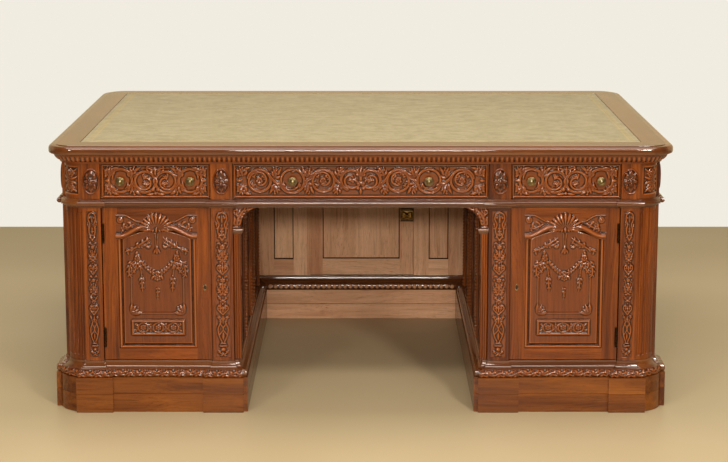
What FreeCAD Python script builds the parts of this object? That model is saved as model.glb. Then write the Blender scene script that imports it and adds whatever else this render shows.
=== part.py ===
import FreeCAD, Part
import math
import os

# Carved double-pedestal writing desk. Millimetres, floor at z = 0, front toward -Y,
# origin on the floor under the middle of the top.

# Overall size
TOP_WIDTH = 1830.0
TOP_DEPTH = 1220.0
DESK_HEIGHT = 800.0
TOP_OVERHANG = 32.0

# Heights of the horizontal stages, from the floor up
PLINTH_HEIGHT = 106.0
PLINTH_LOWER_COURSE = 56.0
TORUS_HEIGHT = 21.0
CAVETTO_HEIGHT = 25.0
WAIST_HEIGHT = 26.0
FRIEZE_HEIGHT = 106.0
CORNICE_HEIGHT = 28.0
TOP_THICKNESS = 26.0

# Plan of the front, from the corner column to the kneehole
COLUMN_RADIUS = 60.0
FACE_STEP = 9.0
OUTER_PILASTER_WIDTH = 53.0
KNEEHOLE_WIDTH = 726.0
INNER_PILASTER_WIDTH = 64.0
KNEEHOLE_WALL_SETBACK = 12.0
SIDE_PILASTER_WIDTH = 52.0

# Mouldings
PLINTH_PROJECTION = 28.0
PLINTH_BOARD = 24.0
PLINTH_EDGE = 1.2
TORUS_PROJECTION = 22.0
TORUS_BULGE = 4.0
CAVETTO_LIP = 2.5
CAVETTO_SAG = 5.0
WAIST_NOSE = 15.0
WAIST_FILLET = 4.0
WAIST_TOP_PROJECTION = 6.0
CORNICE_FOOT = 4.0
CORNICE_BAND_PROJECTION = 22.0
CORNICE_BAND_SWELL = 3.2
CORNICE_TOP_PROJECTION = 25.0
CORNICE_TOP_FILLET = 3.0

# Boards
CARCASS_BOARD = 20.0
DOOR_THICKNESS = 22.0
RAIL_DEPTH = 60.0
CUPBOARD_BACK = 12.0
SHELF_THICKNESS = 18.0
SHELF_BELOW_MIDDLE = 17.0
SHELF_FRONT_SETBACK = 8.0
SHELF_END_GAP = 1.0
PARTITION_THICKNESS = 18.0
SHELF_PIN_RADIUS = 4.0
SHELF_PIN_LENGTH = 24.0
SHELF_PIN_FIT = 0.1
DOWEL_RADIUS = 6.0
DOWEL_LENGTH = 30.0
DOWEL_FIT = 0.1
DOWEL_INSET = 20.0

# Fluted corner columns
FLUTE_COUNT = 6
FLUTE_RADIUS = 4.2
FLUTE_END_MARGIN = 18.0
FLUTE_EDGE_ANGLE = 9.0

# Pilaster strips and rosettes
CARVED_MARGIN = 10.0
CARVED_SINK = 3.0
CARVING_HEIGHT = 4.0
ROSETTE_WIDTH = 44.0
ROSETTE_HEIGHT = 71.0
ROSETTE_THICKNESS = 4.0

# Front and blind doors
DOOR_GAP = 2.0
HINGE_GAP = 2.4
DOOR_STILE = 44.0
DOOR_BOTTOM_RAIL = 33.0
DOOR_ARCH_SPRING = 89.0
DOOR_ARCH_CROWN = 52.0
PANEL_THICKNESS = 10.0
PANEL_FIELD_MARGIN = 12.0
PANEL_FIELD_RISE = 5.0
CREST_MARGIN = 43.0
CREST_DROP = 26.0
CREST_BAND = 10.0
CREST_THICKNESS = 6.0
SHELL_WIDTH = 74.0
SHELL_HEIGHT = 46.0
SHELL_TOP_MARGIN = 20.0
KEYHOLE_BELOW_MIDDLE = 10.0
KEYHOLE_INSET = 19.0
KEYHOLE_RADIUS = 2.6
KEYHOLE_SLOT = 2.6
KEYHOLE_LENGTH = 9.0
KEYHOLE_DEPTH = 5.0

# Hinges
HINGE_HEIGHT = 58.0
HINGE_LOW_INSET = 70.0
HINGE_HIGH_INSET = 77.0
BARREL_RADIUS = 4.0
BARREL_CLEARANCE = 1.0
BARREL_JAMB_GAP = 0.5
PIN_RADIUS = 1.6
PIN_FIT = 0.05
LEAF_THICKNESS = 1.0
LEAF_WIDTH = 20.0
KNUCKLE_GAP = 0.3
MIDDLE_KNUCKLE_SHARE = 0.36

# Locks
LOCK_WIDTH = 46.0
LOCK_HEIGHT = 46.0
LOCK_DEPTH = 14.0
BOLT_LENGTH = 34.0
BOLT_HEIGHT = 12.0
BOLT_THICKNESS = 6.0
BOLT_FIT = 0.2
BOLT_STANDOFF = 3.0
BOLT_SETBACK = 0.5

# Drawers
DRAWER_GAP = 2.0
DRAWER_FRONT_SETBACK = 6.0
DRAWER_FRONT_THICKNESS = 20.0
DRAWER_FIELD_MARGIN = 14.0
DRAWER_FIELD_SINK = 5.0
DRAWER_SIDE = 12.0
DRAWER_SIDE_GAP = 4.0
DRAWER_SIDE_HEIGHT = 80.0
DRAWER_LENGTH = 480.0
DRAWER_BOTTOM = 6.0
DRAWER_BOTTOM_RISE = 6.0
RUNNER_THICKNESS = 12.0
RUNNER_REACH = 22.0
RUNNER_LENGTH = 520.0
RUNNER_CLEARANCE = 0.3
KNOB_RADIUS = 13.5
KNOB_COLLAR_RADIUS = 8.0
KNOB_COLLAR = 3.0
KNOB_NECK_RADIUS = 5.0
KNOB_NECK = 7.0
KNOB_HEAD = 6.0
KNOB_DOME = 4.0
KNOB_SHANK_RADIUS = 2.5
KNOB_FIT = 0.1
SIDE_KNOB_INSET = 59.0
CENTRE_KNOB_OFFSET = 199.0

# Kneehole
STRIP_WIDTH = 22.0
STRIP_DEPTH = 20.0
BRACKET_REACH = 62.0
BRACKET_DROP = 64.0
CAPITAL_HEIGHT = 14.0
CAPITAL_PROJECTION = 5.0
BACK_PANEL_SETBACK = 94.0
KNEE_DOOR_HALF = 187.0
KNEE_DOOR_STILE = 48.0
KNEE_SIDE_STILE = 53.0
KNEE_RAIL = 58.0
STOP_SEAT = 6.0
STOP_LAP = 4.0
STOP_THICKNESS = 3.0
STOP_CLEARANCE = 0.5
BEAD_WIDTH = 14.0
BEAD_RISE = 7.0
BEAD_POSITION_SHARES = (-0.57, -0.105, 0.105, 0.57)

# Writing surface
LEATHER_BORDER = 90.0
LEATHER_THICKNESS = 1.6
TOP_STEP_INSET = 22.0
TOP_STEP = 2.5
TOP_ROUND = 10.0
TOP_UNDER_ROUND = 5.0
TOP_CORNER_RADIUS = 78.0

# Extra length of cutting tools, so that a cut always breaks through
OVERRUN = 5.0

# Levels worked out from the stages
TORUS_TOP = PLINTH_HEIGHT + TORUS_HEIGHT
BODY_BOTTOM = TORUS_TOP + CAVETTO_HEIGHT
TOP_BOTTOM = DESK_HEIGHT - TOP_THICKNESS
CORNICE_BOTTOM = TOP_BOTTOM - CORNICE_HEIGHT
FRIEZE_BOTTOM = CORNICE_BOTTOM - FRIEZE_HEIGHT
BODY_TOP = FRIEZE_BOTTOM - WAIST_HEIGHT
BODY_MIDDLE = (BODY_BOTTOM + BODY_TOP) / 2
SHELF_BOTTOM = BODY_MIDDLE - SHELF_BELOW_MIDDLE
KEYHOLE_HEIGHT = BODY_MIDDLE - KEYHOLE_BELOW_MIDDLE
HINGE_LOW = BODY_BOTTOM + HINGE_LOW_INSET
HINGE_HIGH = BODY_TOP - HINGE_HIGH_INSET

# Planes worked out from the plan: faces of the pilasters, then the main face behind them
FACE_X = TOP_WIDTH / 2 - TOP_OVERHANG
FACE_Y = TOP_DEPTH / 2 - TOP_OVERHANG
MAIN_X = FACE_X - FACE_STEP
MAIN_Y = FACE_Y - FACE_STEP
COLUMN_X = MAIN_X - COLUMN_RADIUS
COLUMN_Y = MAIN_Y - COLUMN_RADIUS
BACK_X = MAIN_X - DOOR_THICKNESS
BACK_Y = MAIN_Y - DOOR_THICKNESS
OPENING_OUTER = COLUMN_X - OUTER_PILASTER_WIDTH
WALL_X = KNEEHOLE_WIDTH / 2
KNEE_X = WALL_X + KNEEHOLE_WALL_SETBACK
OPENING_INNER = KNEE_X + INNER_PILASTER_WIDTH
STRIP_X = KNEE_X - STRIP_WIDTH
INSIDE_X = WALL_X + CARCASS_BOARD
BACK_PANEL_Y = FACE_Y - BACK_PANEL_SETBACK
SIDE_OPENING_OUTER = COLUMN_Y - SIDE_PILASTER_WIDTH
SIDE_OPENING_INNER = SIDE_PILASTER_WIDTH / 2

# Mouldings lie on the body by most of one face step, rails of the frames stand behind them
MOULDING_BACK_SHARE = 0.8
MOULDING_CLIP_SHARE = 0.9
MOULDING_BACK = FACE_STEP * MOULDING_BACK_SHARE
MOULDING_CLIP = FACE_STEP * MOULDING_CLIP_SHARE
RAIL_Y = MAIN_Y - MOULDING_BACK
RAIL_X = MAIN_X - MOULDING_BACK

# Pin of a front door hinge, seen from the hinge-side jamb
PIN_FROM_JAMB = BARREL_RADIUS + BARREL_JAMB_GAP
PIN_FROM_FACE = BARREL_RADIUS + BARREL_CLEARANCE

SIDES = {"left": -1, "right": 1}
ENDS = (-1, 1)


def vec(x, y, z):
    """Point in space."""
    return FreeCAD.Vector(x, y, z)


def box(x0, x1, y0, y1, z0, z1):
    """Block between two corners, given either way round."""
    corner = vec(min(x0, x1), min(y0, y1), min(z0, z1))
    return Part.makeBox(abs(x1 - x0), abs(y1 - y0), abs(z1 - z0), corner)


def upright(radius, x, y, z0, z1):
    """Vertical cylinder."""
    return Part.makeCylinder(radius, z1 - z0, vec(x, y, z0), vec(0, 0, 1))


def along_y(radius, x, z, y0, y1):
    """Cylinder that runs front to back."""
    return Part.makeCylinder(radius, abs(y1 - y0), vec(x, min(y0, y1), z), vec(0, 1, 0))


def along_x(radius, y, z, x0, x1):
    """Cylinder that runs side to side."""
    return Part.makeCylinder(radius, abs(x1 - x0), vec(min(x0, x1), y, z), vec(1, 0, 0))


def line(a, b):
    """Straight edge."""
    return Part.LineSegment(a, b).toShape()


def arc(a, through, b):
    """Round edge through a middle point."""
    return Part.Arc(a, through, b).toShape()


def outline(edges):
    """Flat face inside a closed row of edges."""
    return Part.Face(Part.Wire(edges))


def base_section(at):
    """Section of the base moulding: a torus on the plinth, then a cavetto up to the body."""
    inner_low = at(-MOULDING_BACK, PLINTH_HEIGHT)
    outer_low = at(TORUS_PROJECTION, PLINTH_HEIGHT)
    bulge = at(TORUS_PROJECTION + TORUS_BULGE, PLINTH_HEIGHT + TORUS_HEIGHT / 2)
    torus_top = at(TORUS_PROJECTION, TORUS_TOP)
    hollow = at((TORUS_PROJECTION + CAVETTO_LIP) / 2 - CAVETTO_SAG,
                TORUS_TOP + CAVETTO_HEIGHT / 2 - CAVETTO_SAG)
    lip = at(CAVETTO_LIP, BODY_BOTTOM)
    inner_top = at(-MOULDING_BACK, BODY_BOTTOM)
    return outline([line(inner_low, outer_low), arc(outer_low, bulge, torus_top), arc(torus_top, hollow, lip),
                    line(lip, inner_top), line(inner_top, inner_low)])


def plinth_section(at, bottom, top):
    """Section of one plinth course, with its two outer edges broken."""
    inner = PLINTH_PROJECTION - PLINTH_BOARD
    eased = PLINTH_PROJECTION - PLINTH_EDGE
    corners = [at(inner, bottom), at(eased, bottom), at(PLINTH_PROJECTION, bottom + PLINTH_EDGE),
               at(PLINTH_PROJECTION, top - PLINTH_EDGE), at(eased, top), at(inner, top)]
    return Part.Face(Part.makePolygon(corners + corners[:1]))


def lower_plinth_section(at):
    """Section of the plinth course that stands on the floor."""
    return plinth_section(at, 0, PLINTH_LOWER_COURSE)


def upper_plinth_section(at):
    """Section of the plinth course under the base moulding."""
    return plinth_section(at, PLINTH_LOWER_COURSE, PLINTH_HEIGHT)


def waist_section(at):
    """Section of the waist moulding: a round nose under a sloping top."""
    inner_low = at(-MOULDING_BACK, BODY_TOP)
    foot = at(WAIST_FILLET, BODY_TOP)
    foot_top = at(WAIST_FILLET, BODY_TOP + WAIST_FILLET)
    nose = at(WAIST_NOSE, BODY_TOP + WAIST_HEIGHT / 2)
    brow = at(WAIST_TOP_PROJECTION, FRIEZE_BOTTOM - WAIST_FILLET)
    crown = at(WAIST_TOP_PROJECTION, FRIEZE_BOTTOM)
    inner_top = at(-MOULDING_BACK, FRIEZE_BOTTOM)
    return outline([line(inner_low, foot), line(foot, foot_top), arc(foot_top, nose, brow), line(brow, crown),
                    line(crown, inner_top), line(inner_top, inner_low)])


def cornice_section(at):
    """Section of the cornice: a foot, a swelling band for the flutes and a top fillet."""
    band_start = CORNICE_BOTTOM + CORNICE_FOOT
    band_end = TOP_BOTTOM - CORNICE_TOP_FILLET
    inner_low = at(-MOULDING_BACK, CORNICE_BOTTOM)
    foot_low = at(CORNICE_FOOT, CORNICE_BOTTOM)
    band_low = at(CORNICE_FOOT, band_start)
    band = at((CORNICE_FOOT + CORNICE_BAND_PROJECTION) / 2 + CORNICE_BAND_SWELL,
              (band_start + band_end) / 2 - CORNICE_BAND_SWELL)
    band_top = at(CORNICE_BAND_PROJECTION, band_end)
    fillet_low = at(CORNICE_TOP_PROJECTION, TOP_BOTTOM - CORNICE_TOP_FILLET)
    fillet_top = at(CORNICE_TOP_PROJECTION, TOP_BOTTOM)
    inner_top = at(-MOULDING_BACK, TOP_BOTTOM)
    return outline([line(inner_low, foot_low), line(foot_low, band_low), arc(band_low, band, band_top),
                    line(band_top, fillet_low), line(fillet_low, fillet_top), line(fillet_top, inner_top),
                    line(inner_top, inner_low)])


def corner_slope(projection):
    """Slope of the mitre where a moulding leaves the round of a corner column."""
    return (math.sqrt(COLUMN_RADIUS ** 2 + COLUMN_RADIUS * projection * 2) - COLUMN_RADIUS) / projection


def moulding_run(points, section, side, slope=0, skip_first=False, skip_last=False):
    """Moulding along a row of straight stretches, mitred at each bend.

    side is 1 when the moulding projects to the left of the way the points run, and -1 to the right.
    slope leans the two ends to meet round corners. A first or last stretch that is skipped only sets
    the mitre where its neighbour ends.
    """
    path = [vec(x, y, 0) for x, y in points]
    ways = [(b - a).normalize() for a, b in zip(path, path[1:])]
    normals = [vec(-way.y * side, way.x * side, 0) for way in ways]
    mitres = [(a + b) * (1.0 / (1.0 + a.dot(b))) for a, b in zip(normals, normals[1:])]
    mitres = [normals[0] + ways[0] * slope] + mitres + [normals[-1] - ways[-1] * slope]
    reach = PLINTH_PROJECTION + OVERRUN
    stretches = []
    for index, way in enumerate(ways):
        start = path[index]
        end = path[index + 1]
        before = start - way * reach
        normal = normals[index]
        face = section(lambda out, z: before + normal * out + vec(0, 0, z))
        bar = face.extrude(way * ((end - start).Length + reach * 2))
        corners = [start - mitres[index] * MOULDING_CLIP, start + mitres[index] * reach,
                   end + mitres[index + 1] * reach, end - mitres[index + 1] * MOULDING_CLIP]
        low = vec(0, 0, bar.BoundBox.ZMin - OVERRUN)
        corners = [corner + low for corner in corners]
        region = Part.Face(Part.makePolygon(corners + corners[:1]))
        region = region.extrude(vec(0, 0, bar.BoundBox.ZLength + OVERRUN * 2))
        stretches.append(bar.common(region))
    if skip_first:
        stretches = stretches[1:]
    if skip_last:
        stretches = stretches[:-1]
    if len(stretches) == 1:
        return stretches[0].Solids[0]
    return stretches[0].multiFuse(stretches[1:]).removeSplitter().Solids[0]


def largest(shape):
    """Biggest solid of a shape, without the slivers that a cut leaves behind."""
    return max(shape.Solids, key=lambda solid: solid.Volume)


def moulding_corner(section, end_x, end_y, radius):
    """Quarter-round moulding about the axis of one corner column."""
    centre = vec(end_x * COLUMN_X, end_y * COLUMN_Y, 0)
    face = section(lambda out, z: centre + vec(end_x * (radius + out), 0, z))
    return face.revolve(centre, vec(0, 0, end_x * end_y), math.degrees(math.pi / 2)).Solids[0]


def mitred_corner(section, end_x, end_y, slope):
    """Quarter-round moulding, cut off where the straight runs on both sides take over."""
    corner = moulding_corner(section, end_x, end_y, COLUMN_RADIUS)
    reach = COLUMN_RADIUS + PLINTH_PROJECTION
    front = [(COLUMN_X, MAIN_Y), (COLUMN_X + reach, MAIN_Y + reach * slope),
             (COLUMN_X + reach, MAIN_Y + reach), (COLUMN_X, MAIN_Y + reach)]
    flank = [(MAIN_X, COLUMN_Y), (MAIN_X + reach * slope, COLUMN_Y + reach),
             (MAIN_X + reach, COLUMN_Y + reach), (MAIN_X + reach, COLUMN_Y)]
    wedges = []
    for points in (front, flank):
        corners = [vec(end_x * x, end_y * y, 0) for x, y in points]
        wedges.append(Part.Face(Part.makePolygon(corners + corners[:1])).extrude(vec(0, 0, DESK_HEIGHT)))
    return largest(corner.cut(wedges))


def quarter_post(radius, end_x, end_y, z0, z1):
    """Quarter-round post with its square corner on the column axis."""
    centre = vec(end_x * COLUMN_X, end_y * COLUMN_Y, z0)
    side_point = centre + vec(end_x * radius, 0, 0)
    front_point = centre + vec(0, end_y * radius, 0)
    half = radius * math.sqrt(0.5)
    middle = centre + vec(end_x * half, end_y * half, 0)
    edges = [line(centre, side_point), arc(side_point, middle, front_point), line(front_point, centre)]
    return outline(edges).extrude(vec(0, 0, z1 - z0))


def fluted_column(end_x, end_y):
    """Corner column with round-ended flutes."""
    column = quarter_post(COLUMN_RADIUS, end_x, end_y, BODY_BOTTOM, BODY_TOP)
    span = math.degrees(math.pi / 2) - FLUTE_EDGE_ANGLE * 2
    flutes = []
    for index in range(FLUTE_COUNT):
        angle = math.radians(FLUTE_EDGE_ANGLE + span * index / (FLUTE_COUNT - 1))
        x = end_x * (COLUMN_X + COLUMN_RADIUS * math.cos(angle))
        y = end_y * (COLUMN_Y + COLUMN_RADIUS * math.sin(angle))
        low = BODY_BOTTOM + FLUTE_END_MARGIN
        high = BODY_TOP - FLUTE_END_MARGIN
        flutes.append(upright(FLUTE_RADIUS, x, y, low, high))
        flutes.append(Part.makeSphere(FLUTE_RADIUS, vec(x, y, low)))
        flutes.append(Part.makeSphere(FLUTE_RADIUS, vec(x, y, high)))
    return column.cut(flutes).Solids[0]


def pedestal_front_path(side, end_y):
    """Plan of one pedestal front, from the corner column round into the kneehole."""
    strip_y = FACE_Y - KNEEHOLE_WALL_SETBACK
    points = [(COLUMN_X, MAIN_Y), (COLUMN_X, FACE_Y), (OPENING_OUTER, FACE_Y), (OPENING_OUTER, MAIN_Y),
              (OPENING_INNER, MAIN_Y), (OPENING_INNER, FACE_Y), (KNEE_X, FACE_Y), (KNEE_X, strip_y),
              (WALL_X, strip_y), (WALL_X, 0)]
    return [(side * x, end_y * y) for x, y in points]


def kneehole_wall_path(side):
    """Plan of one kneehole wall, with a stretch of the pedestal front at each end."""
    strip_y = FACE_Y - KNEEHOLE_WALL_SETBACK
    points = [(KNEE_X, -strip_y), (WALL_X, -strip_y), (WALL_X, strip_y), (KNEE_X, strip_y)]
    return [(side * x, y) for x, y in points]


def end_path(side):
    """Plan of one end of the desk, between two corner columns."""
    points = [(MAIN_X, -COLUMN_Y), (FACE_X, -COLUMN_Y), (FACE_X, -SIDE_OPENING_OUTER),
              (MAIN_X, -SIDE_OPENING_OUTER), (MAIN_X, -SIDE_OPENING_INNER), (FACE_X, -SIDE_OPENING_INNER)]
    points = points + [(x, -y) for x, y in reversed(points)]
    return [(side * x, y) for x, y in points]


def waist_front_path(end_y):
    """Plan of the waist along the front or the back, between two corner columns."""
    points = [(COLUMN_X, MAIN_Y), (COLUMN_X, FACE_Y), (OPENING_OUTER, FACE_Y), (OPENING_OUTER, MAIN_Y),
              (OPENING_INNER, MAIN_Y), (OPENING_INNER, FACE_Y), (KNEE_X, FACE_Y), (KNEE_X, MAIN_Y)]
    points = points + [(-x, y) for x, y in reversed(points)]
    return [(x, end_y * y) for x, y in points]


def pedestal_ring(side, section):
    """Moulding round one pedestal: two fronts, one end, two corners and the kneehole wall."""
    slope = corner_slope(PLINTH_PROJECTION)
    pieces = [moulding_run(end_path(side), section, -side, slope)]
    for end_y in ENDS:
        path = pedestal_front_path(side, end_y)
        pieces.append(moulding_run(path, section, -side * end_y, slope, skip_last=True))
        pieces.append(mitred_corner(section, side, end_y, slope))
    wall = moulding_run(kneehole_wall_path(side), section, side, skip_first=True, skip_last=True)
    return pieces + [wall]


def pilaster(x0, x1, y0, y1, z0, z1, sink):
    """Flat post with a sunk field; sink is the block that leaves the field."""
    return box(x0, x1, y0, y1, z0, z1).cut(sink).Solids[0]


def front_pilaster(side, end_y, inner, outer):
    """Pilaster of a pedestal front between two distances from the middle."""
    face = end_y * FACE_Y
    sink = box(side * (inner + CARVED_MARGIN), side * (outer - CARVED_MARGIN), face - end_y * CARVED_SINK,
               face + end_y * OVERRUN, BODY_BOTTOM + CARVED_MARGIN, BODY_TOP - CARVED_MARGIN)
    return pilaster(side * inner, side * outer, end_y * BACK_Y, face, BODY_BOTTOM, BODY_TOP, sink)


def end_pilaster(side, y0, y1):
    """Pilaster of an end of the desk."""
    face = side * FACE_X
    sink = box(face - side * CARVED_SINK, face + side * OVERRUN, y0 + CARVED_MARGIN, y1 - CARVED_MARGIN,
               BODY_BOTTOM + CARVED_MARGIN, BODY_TOP - CARVED_MARGIN)
    return pilaster(side * BACK_X, face, y0, y1, BODY_BOTTOM, BODY_TOP, sink)


def end_pilaster_spans():
    """Reaches of the three pilasters of an end, front to back."""
    return [(-COLUMN_Y, -SIDE_OPENING_OUTER), (-SIDE_OPENING_INNER, SIDE_OPENING_INNER),
            (SIDE_OPENING_OUTER, COLUMN_Y)]


def end_panel_spans():
    """Reaches of the two panels of an end, front to back."""
    return [(-SIDE_OPENING_OUTER, -SIDE_OPENING_INNER), (SIDE_OPENING_INNER, SIDE_OPENING_OUTER)]


def pilasters(side):
    """All pilasters of one pedestal, with the sockets of the shelf pins."""
    posts = []
    for end_y in ENDS:
        posts.append(front_pilaster(side, end_y, OPENING_OUTER, COLUMN_X))
        posts.append(front_pilaster(side, end_y, KNEE_X, OPENING_INNER))
    for y0, y1 in end_pilaster_spans():
        posts.append(end_pilaster(side, y0, y1))
    sockets = [pin_cylinder(side, wall, y, SHELF_PIN_FIT) for wall, y in pin_places() if wall == BACK_X]
    return [post.cut(sockets).Solids[0] for post in posts]


def pilaster_carvings():
    """Carved strips that fill the sunk fields of every pilaster."""
    strips = []
    z0 = BODY_BOTTOM + CARVED_MARGIN
    z1 = BODY_TOP - CARVED_MARGIN
    rise = CARVING_HEIGHT - CARVED_SINK
    for side in SIDES.values():
        for end_y in ENDS:
            for inner, outer in ((OPENING_OUTER, COLUMN_X), (KNEE_X, OPENING_INNER)):
                strips.append(box(side * (inner + CARVED_MARGIN), side * (outer - CARVED_MARGIN),
                                  end_y * (FACE_Y - CARVED_SINK), end_y * (FACE_Y + rise), z0, z1))
        for y0, y1 in end_pilaster_spans():
            strips.append(box(side * (FACE_X - CARVED_SINK), side * (FACE_X + rise), y0 + CARVED_MARGIN,
                              y1 - CARVED_MARGIN, z0, z1))
    return strips


def pin_places():
    """Wall and depth of the four shelf pins of a cupboard."""
    front = -(SIDE_OPENING_OUTER + COLUMN_Y) / 2
    rear = -SIDE_OPENING_INNER / 2
    return [(wall, y) for wall in (INSIDE_X, BACK_X) for y in (front, rear)]


def pin_cylinder(side, wall, y, fit):
    """One shelf pin, half in the wall and half under the shelf; fit widens it into its socket."""
    half = SHELF_PIN_LENGTH / 2
    return along_x(SHELF_PIN_RADIUS + fit, y, SHELF_BOTTOM - SHELF_PIN_RADIUS, side * (wall - half),
                   side * (wall + half))


def shelf_pins():
    """Pins of both shelves."""
    return [pin_cylinder(side, wall, y, 0) for side in SIDES.values() for wall, y in pin_places()]


def shelf(side):
    """Loose shelf that lies on four pins."""
    return box(side * (INSIDE_X + SHELF_END_GAP), side * (BACK_X - SHELF_END_GAP),
               SHELF_FRONT_SETBACK - COLUMN_Y, -SHELF_END_GAP, SHELF_BOTTOM, SHELF_BOTTOM + SHELF_THICKNESS)


def dowel_places():
    """Plan positions of the dowels that locate the upper stage on the pedestals."""
    y = RAIL_Y - RAIL_DEPTH + DOWEL_INSET
    inner = OPENING_INNER + DOWEL_INSET
    outer = OPENING_OUTER - DOWEL_INSET
    return [(side * x, end_y * y) for side in SIDES.values() for x in (inner, outer) for end_y in ENDS]


def dowels(fit):
    """Dowels, or their sockets when widened by the fit."""
    half = DOWEL_LENGTH / 2
    return [upright(DOWEL_RADIUS + fit, x, y, BODY_TOP - half - fit, BODY_TOP + half + fit)
            for x, y in dowel_places()]


def carcass_boards(side):
    """Floor, lid and middle back of one cupboard."""
    floor_x0 = WALL_X + MOULDING_BACK
    floor_x1 = MAIN_X - MOULDING_BACK
    floor_y = min(MAIN_Y, FACE_Y - KNEEHOLE_WALL_SETBACK) - MOULDING_BACK
    notches = [box(side * COLUMN_X, side * FACE_X, end_y * COLUMN_Y, end_y * FACE_Y, 0, DESK_HEIGHT)
               for end_y in ENDS]
    floor = box(side * floor_x0, side * floor_x1, -floor_y, floor_y, BODY_BOTTOM - CARCASS_BOARD, BODY_BOTTOM)
    floor = floor.cut(notches).Solids[0]
    lid = box(side * INSIDE_X, side * BACK_X, -BACK_Y, BACK_Y, BODY_TOP - CARCASS_BOARD, BODY_TOP)
    lid = lid.cut(notches + dowels(DOWEL_FIT)).Solids[0]
    back = box(side * INSIDE_X, side * BACK_X, 0, CUPBOARD_BACK, BODY_BOTTOM, BODY_TOP - CARCASS_BOARD)
    return [floor, lid, back]


def kneehole_side(side):
    """Wall board between cupboard and kneehole."""
    board = box(side * WALL_X, side * INSIDE_X, -BACK_Y, BACK_Y, BODY_BOTTOM, BODY_TOP)
    sockets = [pin_cylinder(side, wall, y, SHELF_PIN_FIT) for wall, y in pin_places() if wall == INSIDE_X]
    return board.cut(sockets).Solids[0]


def raised_panel_x(side, y0, y1, z0, z1):
    """Fielded panel of an end, seen along X."""
    back = BACK_X + PANEL_FIELD_RISE
    front = back + PANEL_THICKNESS
    sheet = box(side * back, side * front, y0, y1, z0, z1)
    margin = PANEL_FIELD_MARGIN
    field = box(side * front, side * (front + PANEL_FIELD_RISE), y0 + margin, y1 - margin, z0 + margin,
                z1 - margin)
    return sheet.fuse(field).removeSplitter().Solids[0]


def outer_side(side):
    """Rails and fielded panels of one end, between its pilasters."""
    solids = []
    low = BODY_BOTTOM + KNEE_RAIL
    high = BODY_TOP - KNEE_RAIL
    for y0, y1 in end_panel_spans():
        solids.append(box(side * BACK_X, side * MAIN_X, y0, y1, BODY_BOTTOM, low))
        solids.append(box(side * BACK_X, side * MAIN_X, y0, y1, high, BODY_TOP))
        solids.append(raised_panel_x(side, y0, y1, low, high))
    return solids


def door_levels(gap):
    """Bottom and top of a door, the spring and the crown of its panel arch."""
    bottom = BODY_BOTTOM + gap
    top = BODY_TOP - gap
    return bottom, top, top - DOOR_ARCH_SPRING, top - DOOR_ARCH_CROWN


def arched_outline(x0, x1, y, bottom, spring, crown):
    """Upright face with a segmental arch on top."""
    low0 = vec(x0, y, bottom)
    low1 = vec(x1, y, bottom)
    high1 = vec(x1, y, spring)
    high0 = vec(x0, y, spring)
    top = vec((x0 + x1) / 2, y, crown)
    return outline([line(low0, low1), line(low1, high1), arc(high1, top, high0), line(high0, low0)])


def framed_door(x0, x1, y_front, y_back, gap):
    """Two stiles, a bottom rail and an arched top rail of a pedestal door, first stile at x0."""
    bottom, top, spring, crown = door_levels(gap)
    way = math.copysign(1, x1 - x0)
    inner0 = x0 + way * DOOR_STILE
    inner1 = x1 - way * DOOR_STILE
    first = box(x0, inner0, y_front, y_back, bottom, top)
    second = box(inner1, x1, y_front, y_back, bottom, top)
    low_rail = box(inner0, inner1, y_front, y_back, bottom, bottom + DOOR_BOTTOM_RAIL)
    arch = arched_outline(inner0, inner1, min(y_front, y_back) - OVERRUN, bottom, spring, crown)
    arch = arch.extrude(vec(0, abs(y_back - y_front) + OVERRUN * 2, 0))
    top_rail = box(inner0, inner1, y_front, y_back, spring, top).cut(arch).Solids[0]
    return [first, second, low_rail, top_rail]


def arched_panel(x0, x1, y_front, y_back, gap):
    """Raised panel that fills a pedestal door."""
    bottom, top, spring, crown = door_levels(gap)
    way = math.copysign(1, x1 - x0)
    out = math.copysign(1, y_front - y_back)
    inner0 = x0 + way * DOOR_STILE
    inner1 = x1 - way * DOOR_STILE
    low = bottom + DOOR_BOTTOM_RAIL
    start = y_back + out * PANEL_FIELD_RISE
    sheet = arched_outline(inner0, inner1, start, low, spring, crown)
    sheet = sheet.extrude(vec(0, out * PANEL_THICKNESS, 0))
    margin = PANEL_FIELD_MARGIN
    face = start + out * PANEL_THICKNESS
    field = arched_outline(inner0 + way * margin, inner1 - way * margin, face, low + margin, spring - margin,
                           crown - margin)
    field = field.extrude(vec(0, out * PANEL_FIELD_RISE, 0))
    return sheet.fuse(field).removeSplitter().Solids[0]


def door_crest(x0, x1, y_front, out, gap):
    """Swan-neck band and shell on the top rail of a pedestal door."""
    top = door_levels(gap)[1]
    spring = door_levels(gap)[2]
    middle = (x0 + x1) / 2
    shell_top = top - SHELL_TOP_MARGIN
    shell_low = shell_top - SHELL_HEIGHT
    half = SHELL_WIDTH / 2
    low = vec(middle - half, y_front, shell_low)
    fan = outline([arc(low, vec(middle, y_front, shell_top), vec(middle + half, y_front, shell_low)),
                   line(vec(middle + half, y_front, shell_low), low)])
    fan = fan.extrude(vec(0, out * CREST_THICKNESS, 0))
    arms = []
    for hand in ENDS:
        reach = hand * (abs(x1 - x0) / 2 - CREST_MARGIN)
        start = vec(middle, y_front, shell_low)
        end = vec(middle + reach, y_front, spring)
        sag = vec(middle + reach / 2, y_front, spring + CREST_DROP / 2)
        rise = vec(0, 0, CREST_BAND)
        edges = [arc(start, sag, end), line(end, end + rise), arc(end + rise, sag + rise, start + rise),
                 line(start + rise, start)]
        arms.append(outline(edges).extrude(vec(0, out * CREST_THICKNESS, 0)))
    return fan.multiFuse(arms).removeSplitter().Solids[0]


def pin_x(side):
    """Distance of a front door's hinge pin from the middle, signed."""
    return side * (OPENING_OUTER - PIN_FROM_JAMB)


def front_pin_y():
    """Depth of a front door's hinge pin."""
    return -(MAIN_Y + PIN_FROM_FACE)


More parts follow.
